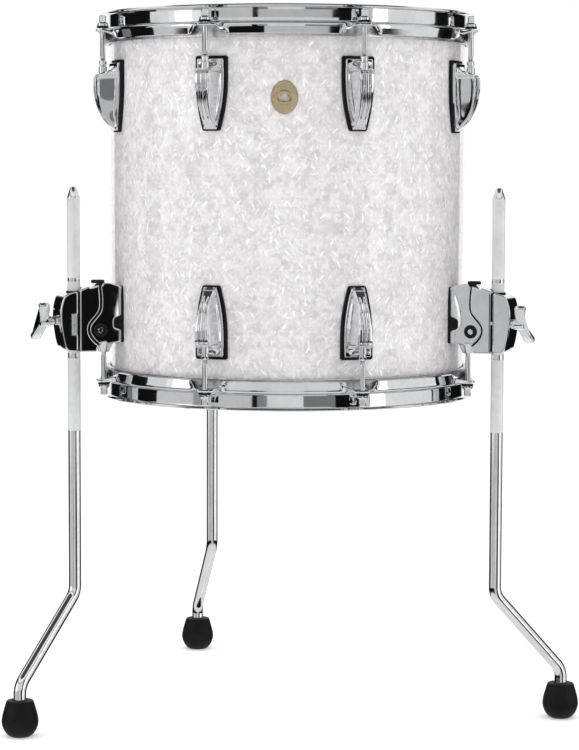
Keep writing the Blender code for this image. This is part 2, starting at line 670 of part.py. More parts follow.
head = head_mesh("head")
flesh_hoop = flesh_hoop_mesh("flesh_hoop")
hoop = hoop_mesh("hoop")
piece("batter_head", head, film, upper)
piece("resonant_head", head, film, lower)
piece("batter_flesh_hoop", flesh_hoop, aluminium, upper)
piece("resonant_flesh_hoop", flesh_hoop, aluminium, lower)
piece("top_hoop", hoop, chrome, upper)
piece("bottom_hoop", hoop, chrome, lower)

rod = rod_mesh()
lug = lug_mesh()
for number, station in enumerate(ROD_STATIONS, 1):
    turn = math.radians(station)
    at = (ROD_CIRCLE * math.cos(turn), ROD_CIRCLE * math.sin(turn), 0)
    piece(f"top_rod_{number}", rod, chrome, upper, at, (0, 0, turn))
    piece(f"top_lug_{number}", lug, chrome, upper, (0, 0, 0), (0, 0, turn))
    # Turned over about X, a station keeps its place in the world when its sign changes.
    under = (at[0], -at[1], 0)
    piece(f"bottom_rod_{number}", rod, chrome, lower, under, (0, 0, -turn))
    taken = any(abs((station - leg + 180) % 360 - 180) < 1 for leg in LEG_STATIONS)
    if not taken:
        piece(f"bottom_lug_{number}", lug, chrome, lower, (0, 0, 0), (0, 0, -turn))

base = base_mesh()
clamp = clamp_mesh()
jaw = jaw_mesh()
liner = liner_mesh()
wing_bolt = wing_bolt_mesh()
leg_shape = leg_curve()
foot = foot_mesh()
for side, station, turn, tilt in zip(("left", "right", "back"), LEG_STATIONS, LEG_TURNS, WING_TILTS):
    stand = empty(f"{side}_bracket_station", root, (0, 0, BRACKET_HEIGHT), station)
    piece(f"{side}_bracket_base", base, chrome, stand)
    piece(f"{side}_clamp_body", clamp, chrome, stand)
    hinge = empty(f"{side}_jaw_axis", stand, (SEAT + SPLIT, JAW_HINGE_SIDE, 0))
    piece(f"{side}_clamp_jaw", jaw, chrome, hinge, (-SEAT - SPLIT, -JAW_HINGE_SIDE, 0))
    bolt_axis = empty(f"{side}_bolt_axis", stand, (SEAT, BOLT_SIDE, BOLT_HEIGHT))
    piece(f"{side}_wing_bolt", wing_bolt, chrome, bolt_axis, rotation=(math.radians(-tilt), 0, 0))
    swivel = empty(f"{side}_leg_axis", stand, (LEG_CIRCLE, 0, 0), turn)
    piece(f"{side}_leg_liner", liner, nylon, swivel)
    piece(f"{side}_leg", leg_shape, satin_chrome, swivel, (0, 0, -BRACKET_HEIGHT))
    piece(f"{side}_foot", foot, rubber, swivel, (LEG_OFFSET, 0, -BRACKET_HEIGHT))

# The origin is the middle of the drum's whole outline on the floor.
bpy.context.view_layer.update()
graph = bpy.context.evaluated_depsgraph_get()
corners = []
for obj in drum.objects:
    if obj.type in ("MESH", "CURVE"):
        shown = obj.evaluated_get(graph)
        data = shown.to_mesh()
        points = np.empty(len(data.vertices) * 3, np.float32)
        data.vertices.foreach_get("co", points)
        world = np.array(obj.matrix_world)
        points = points.reshape(-1, 3) @ world[:3, :3].T + world[:3, 3]
        corners += [points.min(0), points.max(0)]
        shown.to_mesh_clear()
low, high = np.min(corners, 0), np.max(corners, 0)
root.location = (-(low[0] + high[0]) / 2, -(low[1] + high[1]) / 2, -low[2])
bpy.context.view_layer.update()
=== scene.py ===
import json
import math

import bmesh
import bpy
import numpy as np
from mathutils import Euler, Matrix, Vector


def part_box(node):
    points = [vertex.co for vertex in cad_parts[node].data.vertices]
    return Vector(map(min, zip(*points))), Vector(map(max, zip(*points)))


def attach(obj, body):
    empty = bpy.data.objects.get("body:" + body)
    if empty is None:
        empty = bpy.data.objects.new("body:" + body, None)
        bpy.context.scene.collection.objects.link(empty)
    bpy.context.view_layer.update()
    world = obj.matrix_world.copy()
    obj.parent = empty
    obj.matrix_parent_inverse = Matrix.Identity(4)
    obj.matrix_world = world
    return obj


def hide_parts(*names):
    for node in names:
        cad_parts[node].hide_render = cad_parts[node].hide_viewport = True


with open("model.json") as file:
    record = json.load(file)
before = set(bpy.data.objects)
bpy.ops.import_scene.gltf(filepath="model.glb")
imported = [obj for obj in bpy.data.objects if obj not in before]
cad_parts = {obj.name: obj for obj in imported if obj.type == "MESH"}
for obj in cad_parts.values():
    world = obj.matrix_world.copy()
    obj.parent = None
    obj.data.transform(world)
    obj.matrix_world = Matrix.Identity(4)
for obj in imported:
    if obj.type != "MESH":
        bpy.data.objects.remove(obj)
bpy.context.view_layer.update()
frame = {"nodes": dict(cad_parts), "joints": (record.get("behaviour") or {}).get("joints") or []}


# ---------------------------------------------------------------------------------------------
# Camera. It stands at the front, a little above the drum's middle, and looks slightly down.
# ---------------------------------------------------------------------------------------------

shell_low, shell_high = (np.array(corner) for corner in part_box("shell"))
DRUM_AXIS = (shell_low + shell_high)[:2] / 2
DRUM_MIDDLE = (shell_low[2] + shell_high[2]) / 2

CAMERA_DISTANCE = 2.4034
CAMERA_HEIGHT = 0.5477
CAMERA_STATION = math.radians(0.954)
CAMERA_YAW = math.radians(-0.065)
CAMERA_PITCH = math.radians(4.981)
CAMERA_ROLL = math.radians(0.186)
CAMERA_LENS = 114.29

camera_data = bpy.data.cameras.new("studio_camera")
camera_data.lens = CAMERA_LENS
camera_data.sensor_width = 36.0
camera = bpy.data.objects.new("studio_camera", camera_data)
camera.location = (DRUM_AXIS[0] + CAMERA_DISTANCE * math.sin(CAMERA_STATION),
                   DRUM_AXIS[1] - CAMERA_DISTANCE * math.cos(CAMERA_STATION), CAMERA_HEIGHT)
turn = (Matrix.Rotation(CAMERA_STATION + CAMERA_YAW, 4, "Z")
        @ Matrix.Rotation(math.radians(90) - CAMERA_PITCH, 4, "X")
        @ Matrix.Rotation(CAMERA_ROLL, 4, "Z"))
camera.rotation_euler = turn.to_euler()
bpy.context.scene.collection.objects.link(camera)
bpy.context.scene.camera = camera


# ---------------------------------------------------------------------------------------------
# Studio. A white floor that runs out of sight, a white surround, a large soft light overhead, and
# dark flags beside and below that give the chrome its black bands, with light boxes between them.
# ---------------------------------------------------------------------------------------------

def shader_nodes(name):
    """A new material with its Principled shader, and the tree to build in."""
    material = bpy.data.materials.new(name)
    material.use_nodes = True
    return material, material.node_tree, material.node_tree.nodes["Principled BSDF"]


def node(tree, kind, inputs=None, **settings):
    """A node of one kind, with its settings, and its inputs given as values or as sockets."""
    made = tree.nodes.new(kind)
    for key, value in settings.items():
        setattr(made, key, value)
    for key, value in (inputs or {}).items():
        socket = made.inputs[key]
        if isinstance(value, bpy.types.NodeSocket):
            tree.links.new(value, socket)
        else:
            socket.default_value = value
    return made


def maths(tree, operation, first, second=0.0, third=0.0, clamp=False):
    return node(tree, "ShaderNodeMath", {0: first, 1: second, 2: third},
                operation=operation, use_clamp=clamp).outputs[0]


def band(tree, value, low, high, soft):
    """One between low and high, falling smoothly to nought over a soft width outside."""
    rise = node(tree, "ShaderNodeMapRange", {0: value, 1: low - soft, 2: low, 3: 0.0, 4: 1.0},
                interpolation_type="SMOOTHSTEP").outputs[0]
    fall = node(tree, "ShaderNodeMapRange", {0: value, 1: high, 2: high + soft, 3: 1.0, 4: 0.0},
                interpolation_type="SMOOTHSTEP").outputs[0]
    return maths(tree, "MULTIPLY", rise, fall)


world = bpy.data.worlds.new("studio")
bpy.context.scene.world = world
world.use_nodes = True
sky = world.node_tree
sky.nodes.clear()
direction = node(sky, "ShaderNodeTexCoord").outputs["Generated"]
parts = node(sky, "ShaderNodeSeparateXYZ", {0: direction})
# The bearing is 0 towards the front of the drum, and positive to the right of it.
bearing = maths(sky, "ARCTAN2", parts.outputs[0], maths(sky, "MULTIPLY", parts.outputs[1], -1.0))
degrees = maths(sky, "MULTIPLY", bearing, 180 / math.pi)
height = maths(sky, "MULTIPLY", maths(sky, "ARCSINE", parts.outputs[2]), 180 / math.pi)


def light_box(first, last, low, high, strength, soft=0.6):
    """A lit patch of the surround between two bearings and two heights, in degrees."""
    patch = maths(sky, "MULTIPLY", band(sky, degrees, first, last, soft), band(sky, height, low, high, soft))
    return maths(sky, "MULTIPLY", patch, strength)


# (first bearing, last bearing, lowest, highest, strength) of each box, screen and wall.
LIT = ((-94.0, -77.0, 1.0, 30.0, 0.82), (-78.0, -54.0, 1.0, 30.0, 0.98), (-73.0, -61.0, 1.0, 30.0, 2.0),
       (-88.5, -60.0, -12.5, 1.0, 0.68), (-61.0, -49.0, -12.5, 1.0, 0.36), (-49.0, -21.0, -12.5, 1.0, 0.60),
       (-53.0, -21.0, 1.0, 30.0, 0.58), (-17.0, 28.0, 1.0, 30.0, 0.54), (-53.0, 32.0, 5.5, 30.0, 0.75),
       (-11.0, 11.0, -12.5, 1.0, 0.78), (11.0, 31.0, -12.5, 1.0, 0.20), (-17.0, -11.0, -12.5, 1.0, 0.26),
       (48.0, 55.0, -12.5, 30.0, 0.60), (55.0, 65.0, -12.5, 30.0, 2.0), (65.0, 105.0, -12.5, 30.0, 0.86),
       (-13.0, 26.0, -40.0, -12.5, 0.56), (-132.0, -128.0, -12.0, 20.0, 0.14),
       (-120.0, -111.0, -12.0, 0.0, 0.20),
       (121.0, 126.0, -12.0, 20.0, 0.11))
light = maths(sky, "MULTIPLY", node(sky, "ShaderNodeMapRange", {0: height, 1: 28.0, 2: 40.0},
                                    interpolation_type="SMOOTHSTEP").outputs[0], 0.95)
behind = maths(sky, "SUBTRACT", 1.0, band(sky, degrees, -148.0, 148.0, 5.0))
zenith = node(sky, "ShaderNodeMapRange", {0: height, 1: 46.0, 2: 54.0, 3: 1.0, 4: 0.06},
              interpolation_type="SMOOTHSTEP").outputs[0]
light = maths(sky, "MULTIPLY", light, zenith)
light = maths(sky, "MAXIMUM", light, maths(sky, "MULTIPLY", behind, 1.05))
below = node(sky, "ShaderNodeMapRange", {0: height, 1: -34.0, 2: -22.0, 3: 0.80, 4: 0.0},
             interpolation_type="SMOOTHSTEP").outputs[0]
light = maths(sky, "MAXIMUM", light, below)
for box in LIT:
    light = maths(sky, "MAXIMUM", light, light_box(*box))
light = maths(sky, "MAXIMUM", light, 0.006)
path = node(sky, "ShaderNodeLightPath")
# Rough surfaces are lit by an even surround, and only mirrors see the flags and the boxes.
even = node(sky, "ShaderNodeMapRange", {0: height, 1: 0.0, 2: 60.0, 3: 0.62, 4: 1.10}).outputs[0]
from_side = maths(sky, "MULTIPLY_ADD", maths(sky, "ABSOLUTE", parts.outputs[0]), 0.75, 0.72)
even = maths(sky, "MULTIPLY", even, from_side)
seen = node(sky, "ShaderNodeMix", {0: path.outputs["Is Glossy Ray"], 2: even, 3: light}).outputs[0]
seen = node(sky, "ShaderNodeMix", {0: path.outputs["Is Camera Ray"], 2: seen, 3: 1.0}).outputs[0]
background = node(sky, "ShaderNodeBackground", {"Color": (1, 1, 1, 1), "Strength": seen})
node(sky, "ShaderNodeOutputWorld", {"Surface": background.outputs[0]})

floor_mesh = bpy.data.meshes.new("studio_floor")
floor_mesh.from_pydata([(-30, -30, 0), (30, -30, 0), (30, 30, 0), (-30, 30, 0)], [], [(0, 1, 2, 3)])
studio_floor = bpy.data.objects.new("studio_floor", floor_mesh)
bpy.context.scene.collection.objects.link(studio_floor)
floor_paint, _, floor_shader = shader_nodes("floor_paint")
floor_shader.inputs["Base Color"].default_value = (0.86, 0.86, 0.86, 1)
floor_shader.inputs["Roughness"].default_value = 0.9
floor_shader.inputs["Specular IOR Level"].default_value = 0.1
floor_shader.inputs["Emission Color"].default_value = (1, 1, 1, 1)
floor_shader.inputs["Emission Strength"].default_value = 0.30
floor_mesh.materials.append(floor_paint)
# Mirrors look through the floor at the surround, whose lower half stands for it.
studio_floor.visible_glossy = False


def soft_light(name, place, target, size, power):
    data = bpy.data.lights.new(name, "AREA")
    data.shape = "RECTANGLE"
    data.size, data.size_y = size
    data.energy = power
    lamp = bpy.data.objects.new(name, data)
    lamp.location = place
    lamp.rotation_euler = (Vector(target) - Vector(place)).to_track_quat("-Z", "Y").to_euler()
    lamp.visible_glossy = False
    bpy.context.scene.collection.objects.link(lamp)


soft_light("top_light", (0, -0.1, 2.6), (0, 0, 0.3), (2.2, 2.2), 16)
soft_light("side_light", (-2.6, -1.2, 1.5), (0, 0, 0.5), (1.4, 1.4), 5)
bpy.context.scene.view_settings.view_transform = "Standard"


# ---------------------------------------------------------------------------------------------
# Shell. Maple plies rolled into a cylinder, lacquered inside. The bearing edges are turned on both
# ends, and the outside is hidden under the wrap.
# ---------------------------------------------------------------------------------------------

def grained_wood():
    material, tree, shader = shader_nodes("maple_ply")
    place = node(tree, "ShaderNodeTexCoord").outputs["Object"]
    stretched = node(tree, "ShaderNodeMapping", {0: place, 3: (9.0, 9.0, 90.0)}).outputs[0]
    grain = node(tree, "ShaderNodeTexNoise", {"Vector": stretched, "Scale": 6.0, "Detail": 6.0}).outputs[0]
    ramp = node(tree, "ShaderNodeValToRGB", {0: grain})
    ramp.color_ramp.elements[0].position = 0.35
    ramp.color_ramp.elements[0].color = (0.44, 0.26, 0.13, 1)
    ramp.color_ramp.elements[1].position = 0.68
    ramp.color_ramp.elements[1].color = (0.66, 0.45, 0.26, 1)
    tree.links.new(ramp.outputs[0], shader.inputs["Base Color"])
    rough = node(tree, "ShaderNodeMapRange", {0: grain, 3: 0.38, 4: 0.55}).outputs[0]
    tree.links.new(rough, shader.inputs["Roughness"])
    relief = node(tree, "ShaderNodeBump", {"Strength": 0.15, "Distance": 0.0004, "Height": grain})
    tree.links.new(relief.outputs[0], shader.inputs["Normal"])
    return material


maple_ply = grained_wood()


def mesh_from(name, points, faces, flat_angle=35):
    """A mesh from computed points and faces. Points that meet are merged, faces are turned outward,
    and edges sharper than the given angle stay crisp."""
    mesh = bpy.data.meshes.new(name)
    mesh.from_pydata(np.asarray(points).reshape(-1, 3).tolist(), [], faces)
    work = bmesh.new()
    work.from_mesh(mesh)
    bmesh.ops.remove_doubles(work, verts=work.verts, dist=2e-6)
    bmesh.ops.dissolve_degenerate(work, edges=work.edges, dist=1e-7)
    bmesh.ops.recalc_face_normals(work, faces=work.faces)
    work.to_mesh(mesh)
    work.free()
    mesh.shade_smooth()
    mesh.set_sharp_from_angle(angle=math.radians(flat_angle))
    return mesh


def grid_faces(rows, columns, close_rows, close_columns):
    """The quads of a grid of points, joined up again at its end where it closes on itself."""
    row = np.arange(rows if close_rows else rows - 1)[:, None]
    column = np.arange(columns if close_columns else columns - 1)[None, :]
    next_row, next_column = (row + 1) % rows, (column + 1) % columns
    corners = [row * columns + column, row * columns + next_column,
               next_row * columns + next_column, next_row * columns + column]
    return np.stack(np.broadcast_arrays(*corners), -1).reshape(-1, 4).tolist()


def about_axis(radius, angle, z):
    """Points at a radius and an angle about the drum's axis, at a height above the floor."""
    return np.stack([DRUM_AXIS[0] + radius * np.cos(angle), DRUM_AXIS[1] + radius * np.sin(angle),
                     z + 0 * radius], -1)


def ring_mesh(name, profile, steps=256, flat_angle=35):
    """A closed profile of (radius, height) rows carried once round the drum's axis."""
    profile = np.array(profile)
    angle = np.linspace(0, 2 * np.pi, steps, endpoint=False)[:, None]
    points = about_axis(profile[None, :, 0] + 0 * angle, angle, profile[None, :, 1])
    return mesh_from(name, points, grid_faces(steps, len(profile), True, True), flat_angle)


def add_piece(name, mesh, material, body, replaces=()):
    """Puts a mesh into the scene as a piece that rides on a body and stands for some CAD nodes."""
    mesh.materials.append(material)
    made = bpy.data.objects.new(name, mesh)
    bpy.context.scene.collection.objects.link(made)
    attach(made, body)
    if replaces:
        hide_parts(*replaces)
    return made


shell_r = (shell_high[0] - shell_low[0]) / 2
shell_inner = shell_r - 0.006
edge_r = shell_r - 0.002
edge_drop = 0.004
shell_profile = [(shell_r, shell_high[2] - 0.002), (shell_r, shell_low[2] + 0.002), (edge_r, shell_low[2]),
                 (shell_inner, shell_low[2] + edge_drop), (shell_inner, shell_high[2] - edge_drop),
                 (edge_r, shell_high[2])]
add_piece("maple_shell", ring_mesh("maple_shell", shell_profile), maple_ply, "drum", ["shell"])


# ---------------------------------------------------------------------------------------------
# Wrap. A sheet of pearl celluloid glued round the shell, clear over thin bright flakes that lie at
# all angles in a milky ground. Its ends overlap in one upright seam at the back.
# ---------------------------------------------------------------------------------------------

WRAP_R = 0.1775
WRAP_END = 0.1733
WRAP_THICK = 0.0006
SEAM_ANGLE = math.radians(90)
SEAM_STEP = 0.0005


def wrap_mesh(steps=360):
    """The sheet is a tube whose radius grows by one step over the last few degrees before the seam.
    Its UV map runs along the arc and up the drum, in metres."""
    z = DRUM_MIDDLE + np.array([-WRAP_END, -WRAP_END + 0.0004, *np.linspace(-0.16, 0.16, 9),
                                WRAP_END - 0.0004, WRAP_END])
    ease = np.array([-0.0003, 0, *np.zeros(9), 0, -0.0003])
    angle = SEAM_ANGLE + np.linspace(0, 2 * np.pi, steps + 1)
    lap = np.clip((angle - SEAM_ANGLE - math.radians(352)) / math.radians(1.2), 0, 1)
    outer = WRAP_R - 0.0002 + SEAM_STEP * lap[:, None] + ease[None, :]
    inner = WRAP_R - WRAP_THICK + 0 * outer
    radius = np.concatenate([outer, inner[:, ::-1]], 1)
    height = np.concatenate([z, z[::-1]])[None, :] + 0 * radius
    points = about_axis(radius, angle[:, None], height)
    rows, columns = radius.shape
    mesh = bpy.data.meshes.new("pearl_sheet")
    faces = grid_faces(rows, columns, False, True)
    faces = [face[::-1] for face in faces]
    ends = [list(range(columns)), list(range((rows - 1) * columns, rows * columns))[::-1]]
    mesh.from_pydata(points.reshape(-1, 3).tolist(), [], faces + ends)
    arc = np.stack([(angle[:, None] - SEAM_ANGLE) * WRAP_R + 0 * radius, height], -1).reshape(-1, 2)
    layer = mesh.uv_layers.new(name="sheet")
    corner = np.empty(len(mesh.loops), np.int32)
    mesh.loops.foreach_get("vertex_index", corner)
    layer.uv.foreach_set("vector", arc[corner].ravel().astype(np.float32))
    work = bmesh.new()
    work.from_mesh(mesh)
    bmesh.ops.recalc_face_normals(work, faces=work.faces)
    work.to_mesh(mesh)
    work.free()
    mesh.shade_smooth()
    mesh.set_sharp_from_angle(angle=math.radians(40))
    return mesh


def new_group(name, inputs, outputs):
    """An empty node group with its named inputs and outputs: (name, socket type, value)."""
    group = bpy.data.node_groups.new(name, "ShaderNodeTree")
    for title, kind, value in inputs:
        socket = group.interface.new_socket(title, in_out="INPUT", socket_type=kind)
        if value is not None:
            socket.default_value = value
    for title, kind in outputs:
        group.interface.new_socket(title, in_out="OUTPUT", socket_type=kind)
    return group, group.nodes.new("NodeGroupInput").outputs, group.nodes.new("NodeGroupOutput").inputs


def flake_layer():
    """One flake in each cell of a grid of random cells: a long soft spot, turned by a random angle
    about the cell's middle. It gives the spot's strength and a random value for each flake."""
    group, given, out = new_group(
        "flake_layer",
        [("Vector", "NodeSocketVector", None), ("Scale", "NodeSocketFloat", 100.0),
         ("Shift", "NodeSocketFloat", 0.0), ("Length", "NodeSocketFloat", 0.8),
         ("Width", "NodeSocketFloat", 0.2), ("Swing", "NodeSocketFloat", 2.0)],
        [("Strength", "NodeSocketFloat"), ("Random", "NodeSocketFloat")])
    shift = node(group, "ShaderNodeCombineXYZ", {0: given["Shift"], 1: given["Shift"]}).outputs[0]
    moved = node(group, "ShaderNodeVectorMath", {0: given["Vector"], 1: shift}, operation="ADD").outputs[0]
    cells = node(group, "ShaderNodeTexVoronoi", {"Vector": moved, "Scale": given["Scale"], "Randomness": 1.0},
                 voronoi_dimensions="2D")
    away = node(group, "ShaderNodeVectorMath", {0: moved, 1: cells.outputs["Position"]},
                operation="SUBTRACT").outputs[0]
    away = node(group, "ShaderNodeVectorMath", {0: away, "Scale": given["Scale"]},
                operation="SCALE").outputs[0]
    chance = node(group, "ShaderNodeSeparateColor", {0: cells.outputs["Color"]})
    lean = maths(group, "MULTIPLY", maths(group, "SUBTRACT", chance.outputs[0], 0.5), given["Swing"])
    turned = node(group, "ShaderNodeVectorRotate", {"Vector": away, "Angle": lean},
                  rotation_type="Z_AXIS").outputs[0]
    spot = node(group, "ShaderNodeSeparateXYZ", {0: turned})
    across = maths(group, "DIVIDE", spot.outputs[0], given["Width"])
    along = maths(group, "DIVIDE", spot.outputs[1], given["Length"])
    reach = maths(group, "SQRT", maths(group, "ADD", maths(group, "MULTIPLY", across, across),
                                       maths(group, "MULTIPLY", along, along)))
    strength = node(group, "ShaderNodeMapRange", {0: reach, 1: 0.45, 2: 1.0, 3: 1.0, 4: 0.0},
                    interpolation_type="SMOOTHSTEP").outputs[0]
    group.links.new(strength, out["Strength"])
    group.links.new(chance.outputs[1], out["Random"])
    return group


FLAKES = flake_layer()


def pearl():
    material, tree, shader = shader_nodes("white_pearl")
    sheet = node(tree, "ShaderNodeUVMap", uv_map="sheet").outputs[0]
    # The flakes are crumpled, so their places are bent a little by a fine noise.
    bend = node(tree, "ShaderNodeTexNoise", {"Vector": sheet, "Scale": 260.0, "Detail": 2.0}).outputs["Color"]
    bend = node(tree, "ShaderNodeVectorMath", {0: bend, 1: (0.5, 0.5, 0.5)}, operation="SUBTRACT").outputs[0]
    bend = node(tree, "ShaderNodeVectorMath", {0: bend, "Scale": 0.0026}, operation="SCALE").outputs[0]
    bent = node(tree, "ShaderNodeVectorMath", {0: sheet, 1: bend}, operation="ADD").outputs[0]

    cloud = node(tree, "ShaderNodeTexNoise", {"Vector": sheet, "Scale": 16.0, "Detail": 4.0}).outputs[0]
    # The ground is a patchwork of overlapping flakes, each with its own tone.
    tone = None
    for scale, share in ((120.0, 0.30), (210.0, 0.30), (340.0, 0.18)):
        patch = node(tree, "ShaderNodeTexVoronoi", {"Vector": bent, "Scale": scale, "Smoothness": 0.25},
                     voronoi_dimensions="2D", feature="SMOOTH_F1").outputs["Color"]
        patch = maths(tree, "MULTIPLY", node(tree, "ShaderNodeSeparateColor", {0: patch}).outputs[0], share)
        tone = patch if tone is None else maths(tree, "ADD", tone, patch)
    milk = node(tree, "ShaderNodeTexNoise", {"Vector": bent, "Scale": 70.0, "Detail": 4.0,
                                             "Roughness": 0.6}).outputs[0]
    tone = maths(tree, "MULTIPLY_ADD", milk, 0.75, tone)
    ground = node(tree, "ShaderNodeValToRGB", {0: tone})
    ground.color_ramp.elements[0].position = 0.45
    ground.color_ramp.elements[0].color = (0.615, 0.595, 0.607, 1)
    ground.color_ramp.elements[1].position = 1.02
    ground.color_ramp.elements[1].color = (0.830, 0.812, 0.822, 1)
    colour = ground.outputs[0]

    layers = ((115.0, 0.31, 0.46, 0.15, 2.0, (0.97, 0.96, 0.97, 1), 0.62),
              (175.0, 1.73, 0.52, 0.20, 2.9, (0.95, 0.94, 0.95, 1), 0.50),
              (135.0, 2.57, 0.50, 0.26, 2.8, (0.62, 0.60, 0.615, 1), 0.30),
              (88.0, 4.11, 0.42, 0.10, 1.8, (1.0, 1.0, 1.0, 1), 1.0),
              (230.0, 5.77, 0.60, 0.24, 3.1, (0.98, 0.97, 0.98, 1), 0.45))
    gleam = None
    for scale, shift, length, width, swing, tint, amount in layers:
        flake = node(tree, "ShaderNodeGroup", {}, node_tree=FLAKES)
        tree.links.new(bent, flake.inputs["Vector"])
        for title, value in (("Scale", scale), ("Shift", shift), ("Length", length), ("Width", width),
                             ("Swing", swing)):
            flake.inputs[title].default_value = value
        chance = node(tree, "ShaderNodeMapRange", {0: flake.outputs["Random"], 1: 0.35, 2: 0.80}).outputs[0]
        mask = maths(tree, "MULTIPLY", flake.outputs["Strength"], chance)
        mask = maths(tree, "MULTIPLY", mask, amount)
        colour = node(tree, "ShaderNodeMix", {0: mask, 6: colour, 7: tint}, data_type="RGBA").outputs[2]
        gleam = mask if gleam is None else maths(tree, "MAXIMUM", gleam, mask)
    tinted = node(tree, "ShaderNodeValToRGB", {0: cloud})
    tinted.color_ramp.elements[0].position = 0.32
    tinted.color_ramp.elements[0].color = (0.965, 0.935, 0.950, 1)
    tinted.color_ramp.elements[1].position = 0.68
    tinted.color_ramp.elements[1].color = (1.0, 1.0, 1.0, 1)
    colour = node(tree, "ShaderNodeMix", {0: 1.0, 6: colour, 7: tinted.outputs[0]}, data_type="RGBA",
                  blend_type="MULTIPLY").outputs[2]
    tree.links.new(colour, shader.inputs["Base Color"])
    rough = node(tree, "ShaderNodeMapRange", {0: gleam, 3: 0.50, 4: 0.28}).outputs[0]
    tree.links.new(rough, shader.inputs["Roughness"])
    shader.inputs["Specular IOR Level"].default_value = 0.35
    shader.inputs["Coat Weight"].default_value = 1.0
    shader.inputs["Coat Roughness"].default_value = 0.02
    shader.inputs["Coat IOR"].default_value = 1.5
    return material


white_pearl = pearl()
add_piece("pearl_sheet", wrap_mesh(), white_pearl, "drum", ["pearl_wrap"])


# ---------------------------------------------------------------------------------------------
# Heads. A coated film, pulled down over each bearing edge and clinched into a light aluminium
# channel, the flesh hoop, which the outer hoop presses down.
# ---------------------------------------------------------------------------------------------

def coated_film():
    material, tree, shader = shader_nodes("coated_film")
    place = node(tree, "ShaderNodeTexCoord").outputs["Object"]
    speck = node(tree, "ShaderNodeTexNoise", {"Vector": place, "Scale": 900.0, "Detail": 3.0}).outputs[0]
    cloud = node(tree, "ShaderNodeTexNoise", {"Vector": place, "Scale": 7.0, "Detail": 4.0}).outputs[0]
    mixed = maths(tree, "ADD", maths(tree, "MULTIPLY", speck, 0.35), maths(tree, "MULTIPLY", cloud, 0.65))
    ramp = node(tree, "ShaderNodeValToRGB", {0: mixed})
    ramp.color_ramp.elements[0].position = 0.35
    ramp.color_ramp.elements[0].color = (0.66, 0.655, 0.635, 1)
    ramp.color_ramp.elements[1].position = 0.62
    ramp.color_ramp.elements[1].color = (0.74, 0.735, 0.72, 1)
    tree.links.new(ramp.outputs[0], shader.inputs["Base Color"])
    rough = node(tree, "ShaderNodeMapRange", {0: cloud, 3: 0.42, 4: 0.60}).outputs[0]
    tree.links.new(rough, shader.inputs["Roughness"])
    relief = node(tree, "ShaderNodeBump", {"Strength": 0.25, "Distance": 0.0001, "Height": speck})
    tree.links.new(relief.outputs[0], shader.inputs["Normal"])
    return material


def smudges():
    """Finger marks and faint polishing haze: two noises of different grain mixed into one value."""
    group, given, out = new_group("smudges", [("Vector", "NodeSocketVector", None),
                                              ("Scale", "NodeSocketFloat", 20.0)],
                                  [("Haze", "NodeSocketFloat")])
    broad = node(group, "ShaderNodeTexNoise", {"Vector": given["Vector"], "Scale": given["Scale"],
                                               "Detail": 3.0, "Distortion": 0.6}).outputs[0]
    finer = maths(group, "MULTIPLY", given["Scale"], 7.0)
    fine = node(group, "ShaderNodeTexNoise", {"Vector": given["Vector"], "Scale": finer,
                                              "Detail": 4.0}).outputs[0]
    both = maths(group, "ADD", maths(group, "MULTIPLY", broad, 0.65), maths(group, "MULTIPLY", fine, 0.35))
    haze = node(group, "ShaderNodeMapRange", {0: both, 1: 0.40, 2: 0.66}, clamp=True).outputs[0]
    group.links.new(haze, out["Haze"])
    return group


SMUDGES = smudges()


def metal(name, colour, dull, rough, rough_hazy, scale=22.0):
    """A metal whose colour and roughness drift with the haze on it."""
    material, tree, shader = shader_nodes(name)
    place = node(tree, "ShaderNodeTexCoord").outputs["Object"]
    haze = node(tree, "ShaderNodeGroup", node_tree=SMUDGES)
    haze.inputs["Scale"].default_value = scale
    tree.links.new(place, haze.inputs["Vector"])
    tint = node(tree, "ShaderNodeMix", {0: haze.outputs["Haze"], 6: (*colour, 1), 7: (*dull, 1)},
                data_type="RGBA").outputs[2]
    tree.links.new(tint, shader.inputs["Base Color"])
    gloss = node(tree, "ShaderNodeMapRange", {0: haze.outputs["Haze"], 3: rough, 4: rough_hazy}).outputs[0]
    tree.links.new(gloss, shader.inputs["Roughness"])
    shader.inputs["Metallic"].default_value = 1.0
    return material


film = coated_film()
drawn_aluminium = metal("drawn_aluminium", (0.74, 0.74, 0.75), (0.60, 0.60, 0.62), 0.22, 0.38)


def disc_mesh(name, profile, steps=192):
    """A profile of (radius, height) rows from the axis out, round and back to the axis."""
    profile = np.array(profile)
    angle = np.linspace(0, 2 * np.pi, steps, endpoint=False)[:, None]
    points = about_axis(profile[None, :, 0] + 0 * angle, angle, profile[None, :, 1])
    return mesh_from(name, points, grid_faces(steps, len(profile), True, False))


def each_half():
    """(name, side): the upper half as drawn, and the lower half as its mirror image in height."""
    return (("top", 1), ("bottom", -1))


